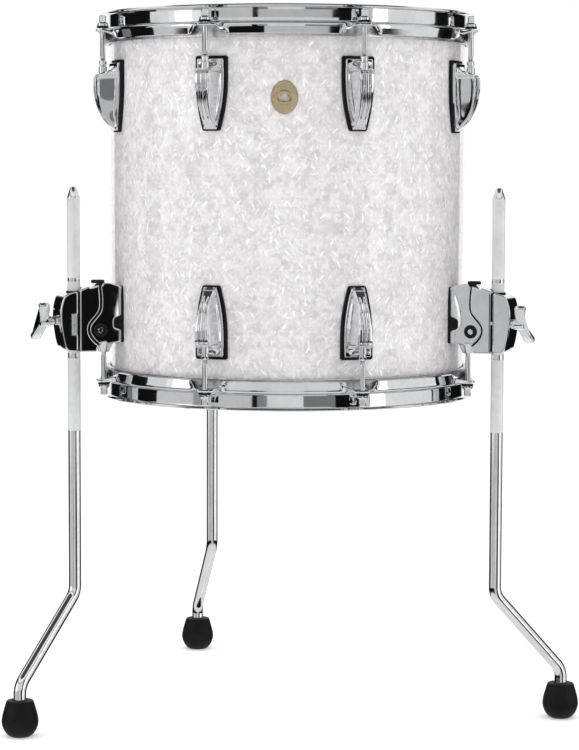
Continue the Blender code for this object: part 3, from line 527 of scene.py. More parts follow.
HEAD_TOP = 0.1785
COLLAR_R = 0.1781
for half, side in each_half():
    head = "batter_head" if side > 0 else "resonant_head"
    channel = "batter_flesh_hoop" if side > 0 else "resonant_flesh_hoop"
    top = HEAD_TOP
    upper = [(0, 0), (0.05, 0), (0.12, 0), (0.160, 0), (0.1735, 0), (0.1760, -0.0003),
             (0.1774, -0.0011), (COLLAR_R, -0.0026), (COLLAR_R, -0.0098)]
    film_profile = [(r, DRUM_MIDDLE + side * (top + z)) for r, z in upper]
    film_profile += [(max(r - 0.00025, 0), DRUM_MIDDLE + side * (top + z - 0.00025))
                     for r, z in upper[::-1]]
    add_piece(f"{half}_film", disc_mesh(f"{half}_film", film_profile), film, "drum", [head])
    crown, foot_z, inside, outside = 0.1714, 0.1596, 0.17845, 0.1822
    channel_profile = [(inside, foot_z), (outside, foot_z), (outside + 0.0002, foot_z + 0.0004),
                       (outside, foot_z + 0.0010), (outside, crown - 0.0012),
                       (outside - 0.0004, crown - 0.0004),
                       (outside - 0.0012, crown), (inside + 0.0008, crown), (inside, crown - 0.0006)]
    channel_profile = [(r, DRUM_MIDDLE + side * z) for r, z in channel_profile]
    add_piece(f"{half}_channel", ring_mesh(f"{half}_channel", channel_profile), drawn_aluminium,
              "drum", [channel])


# ---------------------------------------------------------------------------------------------
# Hoops. One strip of steel, rolled, flanged three times and chromed: a lip turned out at the rim,
# a ledge, and a skirt that is pressed up into a flat ear at each of the eight rods.
# ---------------------------------------------------------------------------------------------

chrome = metal("bright_chrome", (0.80, 0.81, 0.82), (0.70, 0.71, 0.73), 0.030, 0.085)

ROD_STATIONS = np.radians(22.5 - 90 + 45.0 * np.arange(8))
ROD_CIRCLE = 0.1933
HOOP_RIM = 0.1893
SHEET = 0.0022
WALL_R = 0.1804
LEDGE = HOOP_RIM - 0.0156 - SHEET / 2
SKIRT_R = 0.1869
EAR_HALF = 0.0070
EAR_ROUND = 0.0225
EAR_REACH = 0.2020
SKIRT_LEAN = math.radians(10)


def hoop_mesh(name, side, around=1152):
    """The sheet's centre line is a heading added up step by step: in along the lip, down the wall, out
    along the ledge, then over the fold by an angle that is 0 at an ear and 90 degrees at the skirt.
    The two faces stand half the sheet's thickness to either side of it, and round ends join them."""
    station = np.linspace(0, 2 * np.pi, around, endpoint=False) + ROD_STATIONS[0]
    away = np.abs((station[:, None] - ROD_STATIONS[None, :] + np.pi) % (2 * np.pi) - np.pi).min(1)
    away = away * ROD_CIRCLE
    blend = np.clip((away - EAR_HALF) / (EAR_ROUND - EAR_HALF), 0, 1)
    blend = blend ** 2 * (3 - 2 * blend)
    corner, bend = 0.0021, 0.0024
    tab = EAR_REACH - (SKIRT_R - bend) - bend * 0.4
    tab = tab - 0.0034 * np.clip(away / EAR_HALF, 0, 1) ** 4
    skirt = 0.0098
    # The flange's edge moves in a straight line from the ear's tip to the skirt's lower edge.
    edge_x = tab + (-skirt * math.tan(SKIRT_LEAN) - tab) * blend
    edge_z = tab * 0.07 + (skirt - tab * 0.07) * blend
    fold = np.arctan2(edge_z, edge_x)
    flange = np.hypot(edge_x, edge_z) - bend * np.tan(np.minimum(fold, 1.7) / 2)
    ones = np.ones_like(station)
    lip, wall = 0.0040, HOOP_RIM - SHEET / 2 - LEDGE - 2 * corner
    shelf = SKIRT_R - SHEET / 2 - WALL_R - corner - bend

    def arc(angle, radius, parts):
        return [(radius * angle / parts, angle / parts)] * parts

    quarter = math.pi / 2 * ones
    runs = [(lip / 2 * ones, 0 * ones)] * 2 + [(corner * quarter / 5, quarter / 5)] * 5
    runs += [(wall / 4 * ones, 0 * ones)] * 4 + [(corner * quarter / 5, quarter / 5)] * 5
    runs += [(shelf / 2 * ones, 0 * ones)] * 2 + [(bend * fold / 7, -fold / 7)] * 7
    runs += [(flange / 4, 0 * ones)] * 4
    step = np.stack([run[0] for run in runs], 1)
    turning = np.stack([run[1] for run in runs], 1)
    heading = math.pi + np.cumsum(turning, 1) - turning / 2
    x = np.concatenate([0 * ones[:, None], np.cumsum(step * np.cos(heading), 1)], 1)
    z = np.concatenate([0 * ones[:, None], np.cumsum(step * np.sin(heading), 1)], 1)
    x += WALL_R - x[:, 9:10]
    z += HOOP_RIM - SHEET / 2
    # The ledge dips a little towards an ear, where the rod pulls on it.
    z[:, 16:] -= 0.0011 * (1 - blend)[:, None] * np.clip((np.arange(x.shape[1] - 16) + 1) / 4, 0, 1)
    slope = np.gradient(x, axis=1), np.gradient(z, axis=1)
    size = np.hypot(*slope)
    out_x, out_z = slope[1] / size, -slope[0] / size
    h = SHEET / 2
    face_a = np.stack([x + h * out_x, z + h * out_z], -1)
    face_b = np.stack([x - h * out_x, z - h * out_z], -1)
    tip_a = np.stack([x[:, -1] + h * slope[0][:, -1] / size[:, -1] * 0.8,
                      z[:, -1] + h * slope[1][:, -1] / size[:, -1] * 0.8], -1)[:, None]
    tip_b = np.stack([x[:, 0] - h * slope[0][:, 0] / size[:, 0] * 0.8,
                      z[:, 0] - h * slope[1][:, 0] / size[:, 0] * 0.8], -1)[:, None]
    section = np.concatenate([face_a, tip_a, face_b[:, ::-1], tip_b], 1)
    points = about_axis(section[..., 0], station[:, None], DRUM_MIDDLE + side * section[..., 1])
    return mesh_from(name, points, grid_faces(around, section.shape[1], True, True), 50)


for half, side in each_half():
    add_piece(f"{half}_flanged_hoop", hoop_mesh(f"{half}_flanged_hoop", side), chrome, "drum",
              [f"{half}_hoop"])


# ---------------------------------------------------------------------------------------------
# Tension rods. Cold-headed steel with a square key and a domed flange, a dark nylon washer under the
# flange, and a rolled thread on the end that enters the lug.
# ---------------------------------------------------------------------------------------------

black_nylon_data = shader_nodes("black_nylon")


def dark_plastic(made, colour, rough, rough_high, grain):
    material, tree, shader = made
    place = node(tree, "ShaderNodeTexCoord").outputs["Object"]
    pits = node(tree, "ShaderNodeTexNoise", {"Vector": place, "Scale": grain, "Detail": 5.0}).outputs[0]
    dust = node(tree, "ShaderNodeTexNoise", {"Vector": place, "Scale": grain / 22, "Detail": 3.0}).outputs[0]
    lit = tuple(min(c * 2.0 + 0.002, 1) for c in colour)
    dusty = node(tree, "ShaderNodeMapRange", {0: dust, 1: 0.42, 2: 0.75}).outputs[0]
    tint = node(tree, "ShaderNodeMix", {0: dusty, 6: (*colour, 1), 7: (*lit, 1)}, data_type="RGBA").outputs[2]
    tree.links.new(tint, shader.inputs["Base Color"])
    gloss = node(tree, "ShaderNodeMapRange", {0: pits, 3: rough, 4: rough_high}).outputs[0]
    tree.links.new(gloss, shader.inputs["Roughness"])
    relief = node(tree, "ShaderNodeBump", {"Strength": 0.3, "Distance": 0.0001, "Height": pits})
    tree.links.new(relief.outputs[0], shader.inputs["Normal"])
    shader.inputs["Specular IOR Level"].default_value = 0.15
    return material


black_nylon = dark_plastic(black_nylon_data, (0.009, 0.009, 0.010), 0.32, 0.5, 1400.0)


def upright_mesh(name, centre, profile, steps=40, squareness=None):
    """A profile of (radius, height) rows turned about an upright axis. Where squareness is above
    nought the circle becomes a square of that half width with rounded corners."""
    profile = np.array(profile)
    angle = np.linspace(0, 2 * np.pi, steps, endpoint=False)[:, None] + np.pi / steps
    radius = profile[None, :, 0] + 0 * angle
    if squareness is not None:
        square = np.array(squareness)[None, :]
        power = 12.0
        unit = (np.abs(np.cos(angle)) ** power + np.abs(np.sin(angle)) ** power) ** (-1 / power)
        radius = radius * (1 + square * (unit - 1))
    points = np.stack([centre[0] + radius * np.cos(angle), centre[1] + radius * np.sin(angle),
                       profile[None, :, 1] + 0 * angle], -1)
    return mesh_from(name, points, grid_faces(steps, len(profile), True, False), 38)


def rod_place(station):
    return (DRUM_AXIS[0] + ROD_CIRCLE * math.cos(station), DRUM_AXIS[1] + ROD_CIRCLE * math.sin(station))


FLANGE_FOOT = 0.1743
KEY_FOOT = 0.1782
KEY_TOP = 0.1849
WASHER_FOOT = 0.1727
THREAD_TOP = 0.1460
ROD_END = 0.1180
thread_turns = np.arange(0, 27)
for half, side in each_half():
    for number, station in enumerate(ROD_STATIONS, 1):
        key = [(0, KEY_TOP), (0.0022, KEY_TOP), (0.0029, KEY_TOP - 0.0005), (0.00315, KEY_TOP - 0.0012),
               (0.00315, KEY_FOOT + 0.0006), (0.0034, KEY_FOOT)]
        dome = [(0.0042, KEY_FOOT - 0.0003), (0.0050, KEY_FOOT - 0.0011), (0.00545, KEY_FOOT - 0.0023),
                (0.00545, FLANGE_FOOT + 0.0004), (0.0051, FLANGE_FOOT), (0.0026, FLANGE_FOOT)]
        shaft = [(0.0026, THREAD_TOP)]
        for crest in thread_turns:
            at = THREAD_TOP - 0.0004 - crest * 0.0010
            shaft += [(0.00255, at), (0.0022, at - 0.0005)]
        shaft += [(0.0020, ROD_END), (0, ROD_END)]
        rows = key + dome + shaft
        square = [1.0] * 5 + [0.6] + [0.0] * (len(rows) - 6)
        rows = [(r, DRUM_MIDDLE + side * z) for r, z in rows]
        body = f"{half}_rod_{number}"
        add_piece(f"{half}_key_rod_{number}",
                  upright_mesh(f"{half}_key_rod_{number}", rod_place(station), rows, 32, square),
                  chrome, body, [body])
        ring = [(0.00275, FLANGE_FOOT - 0.0001), (0.0057, FLANGE_FOOT - 0.0001),
                (0.0060, FLANGE_FOOT - 0.0005),
                (0.0060, WASHER_FOOT + 0.0003), (0.0057, WASHER_FOOT), (0.00275, WASHER_FOOT)]
        ring = [(r, DRUM_MIDDLE + side * z) for r, z in ring + ring[:1]]
        washer = upright_mesh(f"{half}_washer_{number}", rod_place(station), ring, 32)
        add_piece(f"{half}_washer_{number}", washer, black_nylon, body)


# ---------------------------------------------------------------------------------------------
# Lugs. Die-cast zinc, polished and chromed: a shield-shaped foot on a rubber gasket, and a long hump
# with three ribs that holds the threaded receiver for the rod.
# ---------------------------------------------------------------------------------------------

black_rubber = dark_plastic(shader_nodes("black_rubber"), (0.0055, 0.0055, 0.006), 0.45, 0.65, 900.0)

LUG_TOP = 0.1418
LUG_LENGTH = 0.0698
GASKET_R = 0.1776
FOOT_R = 0.1802
RIM_R = 0.1829


def shield_half_width(down):
    """Half the gasket's width: full at the rod end, with rounded corners, closing along a curve."""
    t = np.clip((down - 0.020) / 0.050, 0, 1)
    near = np.clip(1 - down / 0.002, 0, 1)
    far = np.clip(1 - (LUG_LENGTH - down) / 0.0016, 0, 1)
    return 0.0162 - 0.0076 * t ** 2 - 0.0016 * near ** 2 - 0.0012 * far ** 2


def smooth(value, low, high):
    t = np.clip((value - low) / (high - low), 0, 1)
    return t * t * (3 - 2 * t)


def station_points(out, across, z, station, side):
    """Points in the frame of one station: out from the drum's axis, across, and up from its middle."""
    c, s = math.cos(station), math.sin(station)
    return np.stack([DRUM_AXIS[0] + out * c - across * s, DRUM_AXIS[1] + out * s + across * c,
                     DRUM_MIDDLE + side * z], -1)


def lug_casting(name, station, side, rows=84, columns=72):
    """A sheet of heights over the shield: a rolled rim, a plate that swells towards the hump, and the
    hump itself, whose crown follows an arch and carries two grooves. The edge is carried down to the
    gasket and closed underneath."""
    inset = 0.0026
    near, far = inset, LUG_LENGTH - 0.0015
    dense = np.concatenate([np.linspace(0, 0.12, 14, endpoint=False),
                            np.linspace(0.12, 0.20, 18, endpoint=False),
                            np.linspace(0.20, 1, rows - 32)])
    down = (near + (far - near) * dense)[:, None]
    half = shield_half_width(down) - inset
    half = half - 0.0011 * np.clip(1 - (down - near) / 0.0018, 0, 1) ** 2
    share = np.sin(np.linspace(-math.pi / 2, math.pi / 2, columns))[None, :] * 0.55 \
        + np.linspace(-1, 1, columns)[None, :] * 0.45
    across = half * share
    side_way = np.abs(across)
    crown = 0.0190 * np.clip(1 - ((down - 0.025) / 0.0415) ** 2, 0, 1) ** 0.72
    brow = smooth(down, 0.0112, 0.0150)
    crown = crown * (0.70 * smooth(down, 0.01085, 0.01170) + 0.30 * brow)
    face = 0.0070 - 0.0024 * smooth(down, 0.015, 0.060) + 0.0008 * (1 - smooth(down, 0.0142, 0.0154))
    foot = face + 0.0040 - 0.0016 * smooth(down, 0.030, 0.066)
    flank = 1 - smooth(side_way, face - 0.0004, foot)
    ridge = crown * flank
    plate = 0.0042 * smooth(down, 0.0046, 0.0112) * (1 - smooth(side_way, 0.0040, half - 0.0012)) \
        * (1 - smooth(down, 0.056, 0.068))
    groove = np.exp(-((side_way - 0.0024) / 0.00075) ** 2) * smooth(down, 0.0150, 0.0165) \
        * (1 - smooth(down, 0.0560, 0.0600))
    # A plain bar crosses the hump at the rod end, and a step runs round the plate inside its rim.
    under_bar = np.exp(-((down - 0.0158) / 0.0007) ** 2) * (side_way < foot)
    step = np.exp(-((half - side_way - 0.0021) / 0.00055) ** 2) * (down > 0.0080)
    bow = -0.0006 * (side_way / face).clip(0, 1) ** 2 * (crown > 0.004)
    edge = np.clip((half - side_way) / 0.0012, 0, 1)
    end = np.clip(np.minimum(down - near, far - down) / 0.0012, 0, 1)
    rolled = 0.0011 * (1 - np.sqrt(np.clip(1 - (1 - np.minimum(edge, end)) ** 2, 0, 1)))
    out = (RIM_R + np.maximum(plate, ridge) + bow - 0.0023 * groove - 0.0011 * under_bar
           - 0.0009 * step - rolled)
    z = LUG_TOP + 0.0003 - down + 0 * across
    top = np.stack([out, across, z], -1)
    back = np.stack([np.sqrt(FOOT_R ** 2 - across ** 2), across, z], -1)
    # The edge is walked once round, first at the top sheet and then at the foot.
    points = np.concatenate([top.reshape(-1, 3), back.reshape(-1, 3)])
    count = rows * columns
    faces = grid_faces(rows, columns, False, False)
    under = [[count + k for k in reversed(face)] for face in faces]
    loop = ([k for k in range(columns)] + [r * columns + columns - 1 for r in range(1, rows)]
            + [(rows - 1) * columns + k for k in range(columns - 2, -1, -1)]
            + [r * columns for r in range(rows - 2, 0, -1)])
    walls = [[a, b, count + b, count + a] for a, b in zip(loop, loop[1:] + loop[:1])]
    placed = station_points(points[:, 0], points[:, 1], points[:, 2], station, side)
    return mesh_from(name, placed, faces + under + walls, 42)


def gasket_mesh(name, station, side, rows=40, columns=17):
    """The same shield, full size, as a thin slab that follows the shell."""
    down = np.sort(np.concatenate([np.linspace(0, 0.002, 8),
                                   np.linspace(0.004, LUG_LENGTH - 0.003, rows - 16),
                                   np.linspace(LUG_LENGTH - 0.0016, LUG_LENGTH, 8)]))[:, None]
    across = shield_half_width(down) * np.linspace(-1, 1, columns)[None, :]
    z = LUG_TOP + 0.0003 - down + 0 * across
    sheets = [np.stack([np.sqrt(radius ** 2 - across ** 2), across, z], -1).reshape(-1, 3)
              for radius in (FOOT_R - 0.0001, GASKET_R)]
    count = rows * columns
    faces = grid_faces(rows, columns, False, False)
    under = [[count + k for k in reversed(face)] for face in faces]
    loop = ([k for k in range(columns)] + [r * columns + columns - 1 for r in range(1, rows)]
            + [(rows - 1) * columns + k for k in range(columns - 2, -1, -1)]
            + [r * columns for r in range(rows - 2, 0, -1)])
    walls = [[a, b, count + b, count + a] for a, b in zip(loop, loop[1:] + loop[:1])]
    points = np.concatenate(sheets)
    placed = station_points(points[:, 0], points[:, 1], points[:, 2], station, side)
    return mesh_from(name, placed, faces + under + walls, 40)


for half, side in each_half():
    for number, station in enumerate(ROD_STATIONS, 1):
        lug = f"{half}_lug_{number}"
        if lug not in frame["nodes"]:
            continue
        add_piece(f"{half}_lug_casting_{number}", lug_casting(f"{half}_lug_casting_{number}", station, side),
                  chrome, "drum", [lug])
        add_piece(f"{half}_lug_gasket_{number}", gasket_mesh(f"{half}_lug_gasket_{number}", station, side),
                  black_rubber, "drum")
        sleeve = [(0.00275, LUG_TOP - 0.0008), (0.0032, LUG_TOP - 0.0003), (0.0036, LUG_TOP - 0.0009),
                  (0.0036, LUG_TOP - 0.0042), (0.0032, LUG_TOP - 0.0046), (0.0032, LUG_TOP - 0.0058),
                  (0.0040, LUG_TOP - 0.0064), (0.0042, LUG_TOP - 0.0140), (0.00275, LUG_TOP - 0.0140)]
        sleeve = [(r, DRUM_MIDDLE + side * z) for r, z in sleeve + sleeve[:1]]
        add_piece(f"{half}_receiver_{number}",
                  upright_mesh(f"{half}_receiver_{number}", rod_place(station), sleeve, 32),
                  chrome, "drum")


# ---------------------------------------------------------------------------------------------
# Badge and vent. A small oval plate, stamped and gilt, held on the shell by the flanged brass tube
# that lets air out of the drum.
# ---------------------------------------------------------------------------------------------

gilt = metal("satin_gilt", (0.66, 0.55, 0.36), (0.52, 0.42, 0.26), 0.28, 0.42, 160.0)
VENT_RISE = 0.6127 - 0.5093
FRONT = math.radians(-90)


def front_points(out, across, rise):
    return station_points(out, across, VENT_RISE + rise, FRONT, 1)


def badge_mesh(rings=26, around=96):
    """Rings of an oval from its hole to its rim. The height is level, with a raised bead near the rim
    and a ring of shallow flutes round the hole."""
    angle = np.linspace(0, 2 * np.pi, around, endpoint=False)[None, :]
    share = np.linspace(0, 1, rings)[:, None]
    hole = 0.0052
    wide, tall = 0.01275, 0.01575
    x = (hole + (wide - hole) * share) * np.cos(angle)
    y = (hole + (tall - hole) * share) * np.sin(angle)
    bead = 0.00045 * np.exp(-((share - 0.90) / 0.045) ** 2)
    flute = 0.00012 * np.sin(angle * 24) * np.exp(-((share - 0.42) / 0.14) ** 2)
    roll = 0.0005 * np.clip((share - 0.95) / 0.05, 0, 1) ** 2
    height = 0.1779 + 0.0008 + bead + flute - roll
    out = np.sqrt(np.clip(height ** 2 - x ** 2, 0, None))
    top = front_points(out, x, y)
    low = front_points(np.sqrt(0.17765 ** 2 - x ** 2), x, y)
    points = np.concatenate([top, low[::-1]])
    return mesh_from("oval_badge", points, grid_faces(2 * rings, around, True, True), 40)


def vent_mesh(around=64):
    """A tube turned about the line from the drum's axis to its front, with a rolled flange outside."""
    rows = np.array([(0.0036, 0.1690), (0.0036, 0.1798), (0.0039, 0.1806), (0.0046, 0.1810), (0.0058, 0.1808),
                     (0.0066, 0.1802), (0.0069, 0.1794), (0.0067, 0.1790), (0.0049, 0.1790),
                     (0.0049, 0.1690)])
    angle = np.linspace(0, 2 * np.pi, around, endpoint=False)[:, None]
    radius = rows[None, :, 0]
    points = front_points(rows[None, :, 1] + 0 * angle, radius * np.cos(angle), radius * np.sin(angle))
    return mesh_from("vent_tube", points, grid_faces(around, len(rows), True, True), 38)


add_piece("oval_badge", badge_mesh(), gilt, "drum", ["badge_plate"])
add_piece("vent_tube", vent_mesh(), gilt, "drum", ["vent_grommet"])


# ---------------------------------------------------------------------------------------------
# Leg brackets. Chromed castings in three parts: a base on the shell, a clamp body that hangs from it
# through a rubber joint, and a jaw that a wing bolt closes on the leg.
# ---------------------------------------------------------------------------------------------

SEAT = 0.1778
BRACKET_MIDDLE = 0.4051 - 0.5093


def rounded(outline, radius, parts=5):
    """An outline whose corners are replaced by arcs: each arc is a quadratic curve that leaves and
    meets the two sides at the same distance from the corner."""
    points = np.array(outline, float)
    before = np.roll(points, 1, 0) - points
    after = np.roll(points, -1, 0) - points
    reach = np.minimum(np.linalg.norm(before, axis=1), np.linalg.norm(after, axis=1)) * 0.48
    reach = np.minimum(reach, np.asarray(radius) + 0 * reach)[:, None]
    start = points + before / np.linalg.norm(before, axis=1, keepdims=True) * reach
    end = points + after / np.linalg.norm(after, axis=1, keepdims=True) * reach
    t = np.linspace(0, 1, parts)[None, :, None]
    curve = (1 - t) ** 2 * start[:, None] + 2 * t * (1 - t) * points[:, None] + t ** 2 * end[:, None]
    return curve.reshape(-1, 2)


def inward(outline):
    """The unit direction into an outline at each of its points, from the two sides beside it."""
    ahead = np.roll(outline, -1, 0) - np.roll(outline, 1, 0)
    ahead = ahead / np.maximum(np.linalg.norm(ahead, axis=1, keepdims=True), 1e-9)
    area = np.sum(outline[:, 0] * np.roll(outline[:, 1], -1) - np.roll(outline[:, 0], -1) * outline[:, 1])
    normal = np.stack([-ahead[:, 1], ahead[:, 0]], -1)
    return normal if area > 0 else -normal


# Faces larger than BROAD_FACE, in square metres, are shaded flat. Edges sharper than SHARP_FROM
# degrees stay sharp. FLAT_MARGIN is a strip of each face that is kept flat beside its rounded edge.
FLAT_MARGIN = 0.0003
BROAD_FACE = 3e-5
SHARP_FROM = 38


def flatten_broad(mesh):
    """Shades the broad faces flat, so that the rounding beside them leaves no gradient on them."""
    for polygon in mesh.polygons:
        polygon.use_smooth = polygon.area < BROAD_FACE


def slab(name, outline, low, high, edge, station, cut=(), flat_angle=SHARP_FROM):
    """An outline of (out, up) points, as thick as low to high across the station. Near both faces it
    draws in along a quarter circle, which rounds the edges."""
    outline = np.asarray(outline)
    into = inward(outline)
    turn_by = np.radians([0, 22.5, 45, 67.5, 90])
    # One more row lies just inside the rounding, so that the face within it stays flat.
    draw = np.concatenate([[edge + FLAT_MARGIN], edge * (1 - np.sin(turn_by))])
    rise = np.concatenate([[0.0], edge * (1 - np.cos(turn_by))])
    levels = np.concatenate([low + rise, (high - rise)[::-1]])
    draws = np.concatenate([draw, draw[::-1]])
    rings = outline[None] + into[None] * draws[:, None, None]
    out = SEAT + rings[..., 0]
    up = BRACKET_MIDDLE + rings[..., 1]
    across = levels[:, None] + 0 * out
    points = station_points(out, across, up, station, 1)
    count = len(outline)
    faces = grid_faces(len(levels), count, False, True)
    faces += [list(range(count)), list(range((len(levels) - 1) * count, len(levels) * count))[::-1]]
    mesh = mesh_from(name, points, faces, flat_angle)
    flatten_broad(mesh)
    return carve(mesh, cut) if cut else mesh


def carve(mesh, cutters):
    """The mesh with each cutter taken out of it."""
    work = bpy.data.objects.new("work", mesh)
    bpy.context.scene.collection.objects.link(work)
    tools = []
    for cutter in cutters:
        tool = bpy.data.objects.new("tool", cutter)
        bpy.context.scene.collection.objects.link(tool)
        boolean = work.modifiers.new("cut", "BOOLEAN")
        boolean.operation = "DIFFERENCE"
        boolean.solver = "EXACT"
        boolean.object = tool
        tools.append(tool)
    bpy.context.view_layer.update()
    made = bpy.data.meshes.new_from_object(work.evaluated_get(bpy.context.evaluated_depsgraph_get()))
    made.name = mesh.name
    for helper in [work, *tools]:
        bpy.data.objects.remove(helper, do_unlink=True)
    made.materials.clear()
    made.shade_smooth()
    made.set_sharp_from_angle(angle=math.radians(SHARP_FROM))
    flatten_broad(made)
    return made


def bar_mesh(name, rows, start, direction, steps=40):
    """A closed profile of (radius, distance) rows turned about a line from start along direction."""
    rows = np.array(rows)
    direction = np.array(direction, float) / np.linalg.norm(direction)
    side_a = np.cross(direction, (0.0, 0.0, 1.0) if abs(direction[2]) < 0.9 else (1.0, 0.0, 0.0))
    side_a /= np.linalg.norm(side_a)
    side_b = np.cross(direction, side_a)
    angle = np.linspace(0, 2 * np.pi, steps, endpoint=False)[:, None, None]
    radius = rows[None, :, :1]
    points = (np.array(start) + rows[None, :, 1:] * direction
              + radius * (np.cos(angle) * side_a + np.sin(angle) * side_b))
    return mesh_from(name, points, grid_faces(steps, len(rows), True, False), 38)


ISOLATION = np.array([(23.5, 27.9), (22.1, 18.8), (21.8, 3.7), (27.0, -2.8), (33.0, -9.2), (34.8, -14.5),
                      (33.5, -20.5), (29.0, -26.5), (24.5, -29.9)]) / 1000
RUBBER_HALF = 0.0008
LEG_OUT = 0.2237
BOLT_ACROSS = -0.0110
BOLT_UP = -0.0075


def along_curve(points, parts=6):
    """A smooth curve through points: the inner ones become curves that pass midway between sides."""
    middle = (points[:-1] + points[1:]) / 2
    t = np.linspace(0, 1, parts, endpoint=False)[None, :, None]
    a, b, c = middle[:-1, None], points[1:-1, None], middle[1:, None]
    curve = ((1 - t) ** 2 * a + 2 * t * (1 - t) * b + t ** 2 * c).reshape(-1, 2)
    return np.concatenate([points[:1], curve, middle[-1:], points[-1:]])


def shifted(line, amount):
    """A line moved sideways by an amount, to its left as it runs."""
    ahead = np.gradient(line, axis=0)
    ahead /= np.linalg.norm(ahead, axis=1, keepdims=True)
    return line + amount * np.stack([-ahead[:, 1], ahead[:, 0]], -1)


joint_line = along_curve(ISOLATION)
base_edge = shifted(joint_line, -RUBBER_HALF)
clamp_edge = shifted(joint_line, RUBBER_HALF)
base_rest = rounded(np.array([(17.0, -30.0), (0.0, -28.0), (0.0, -16.0), (8.5, -13.5), (8.5, -5.0),
                              (0.0, -2.0), (0.0, 26.0), (5.0, 28.2), (14.0, 30.4), (20.5, 29.6)]) / 1000,
                    0.0022)
base_outline = np.concatenate([base_edge, base_rest])
clamp_rest = rounded(np.array([(26.0, -37.2), (43.4, -37.2), (43.4, 23.4), (33.5, 27.2)]) / 1000, 0.0020)
clamp_outline = np.concatenate([clamp_edge, clamp_rest])
jaw_outline = rounded(np.array([(45.3, 22.5), (56.4, 19.7), (60.2, 16.3), (62.6, 8.0), (63.4, 0.0),
                                (62.8, -11.0), (60.6, -25.0), (58.1, -33.4), (55.6, -36.0),
                                (45.3, -37.2)]) / 1000,
                      0.0035)
rubber_outline = np.concatenate([shifted(joint_line, -RUBBER_HALF + 0.0001),
                                 shifted(joint_line, RUBBER_HALF - 0.0001)[::-1]])
GASKET_FOOT, GASKET_TOP = -0.0282, 0.0268
gasket_up = np.linspace(GASKET_FOOT, GASKET_TOP, 40)

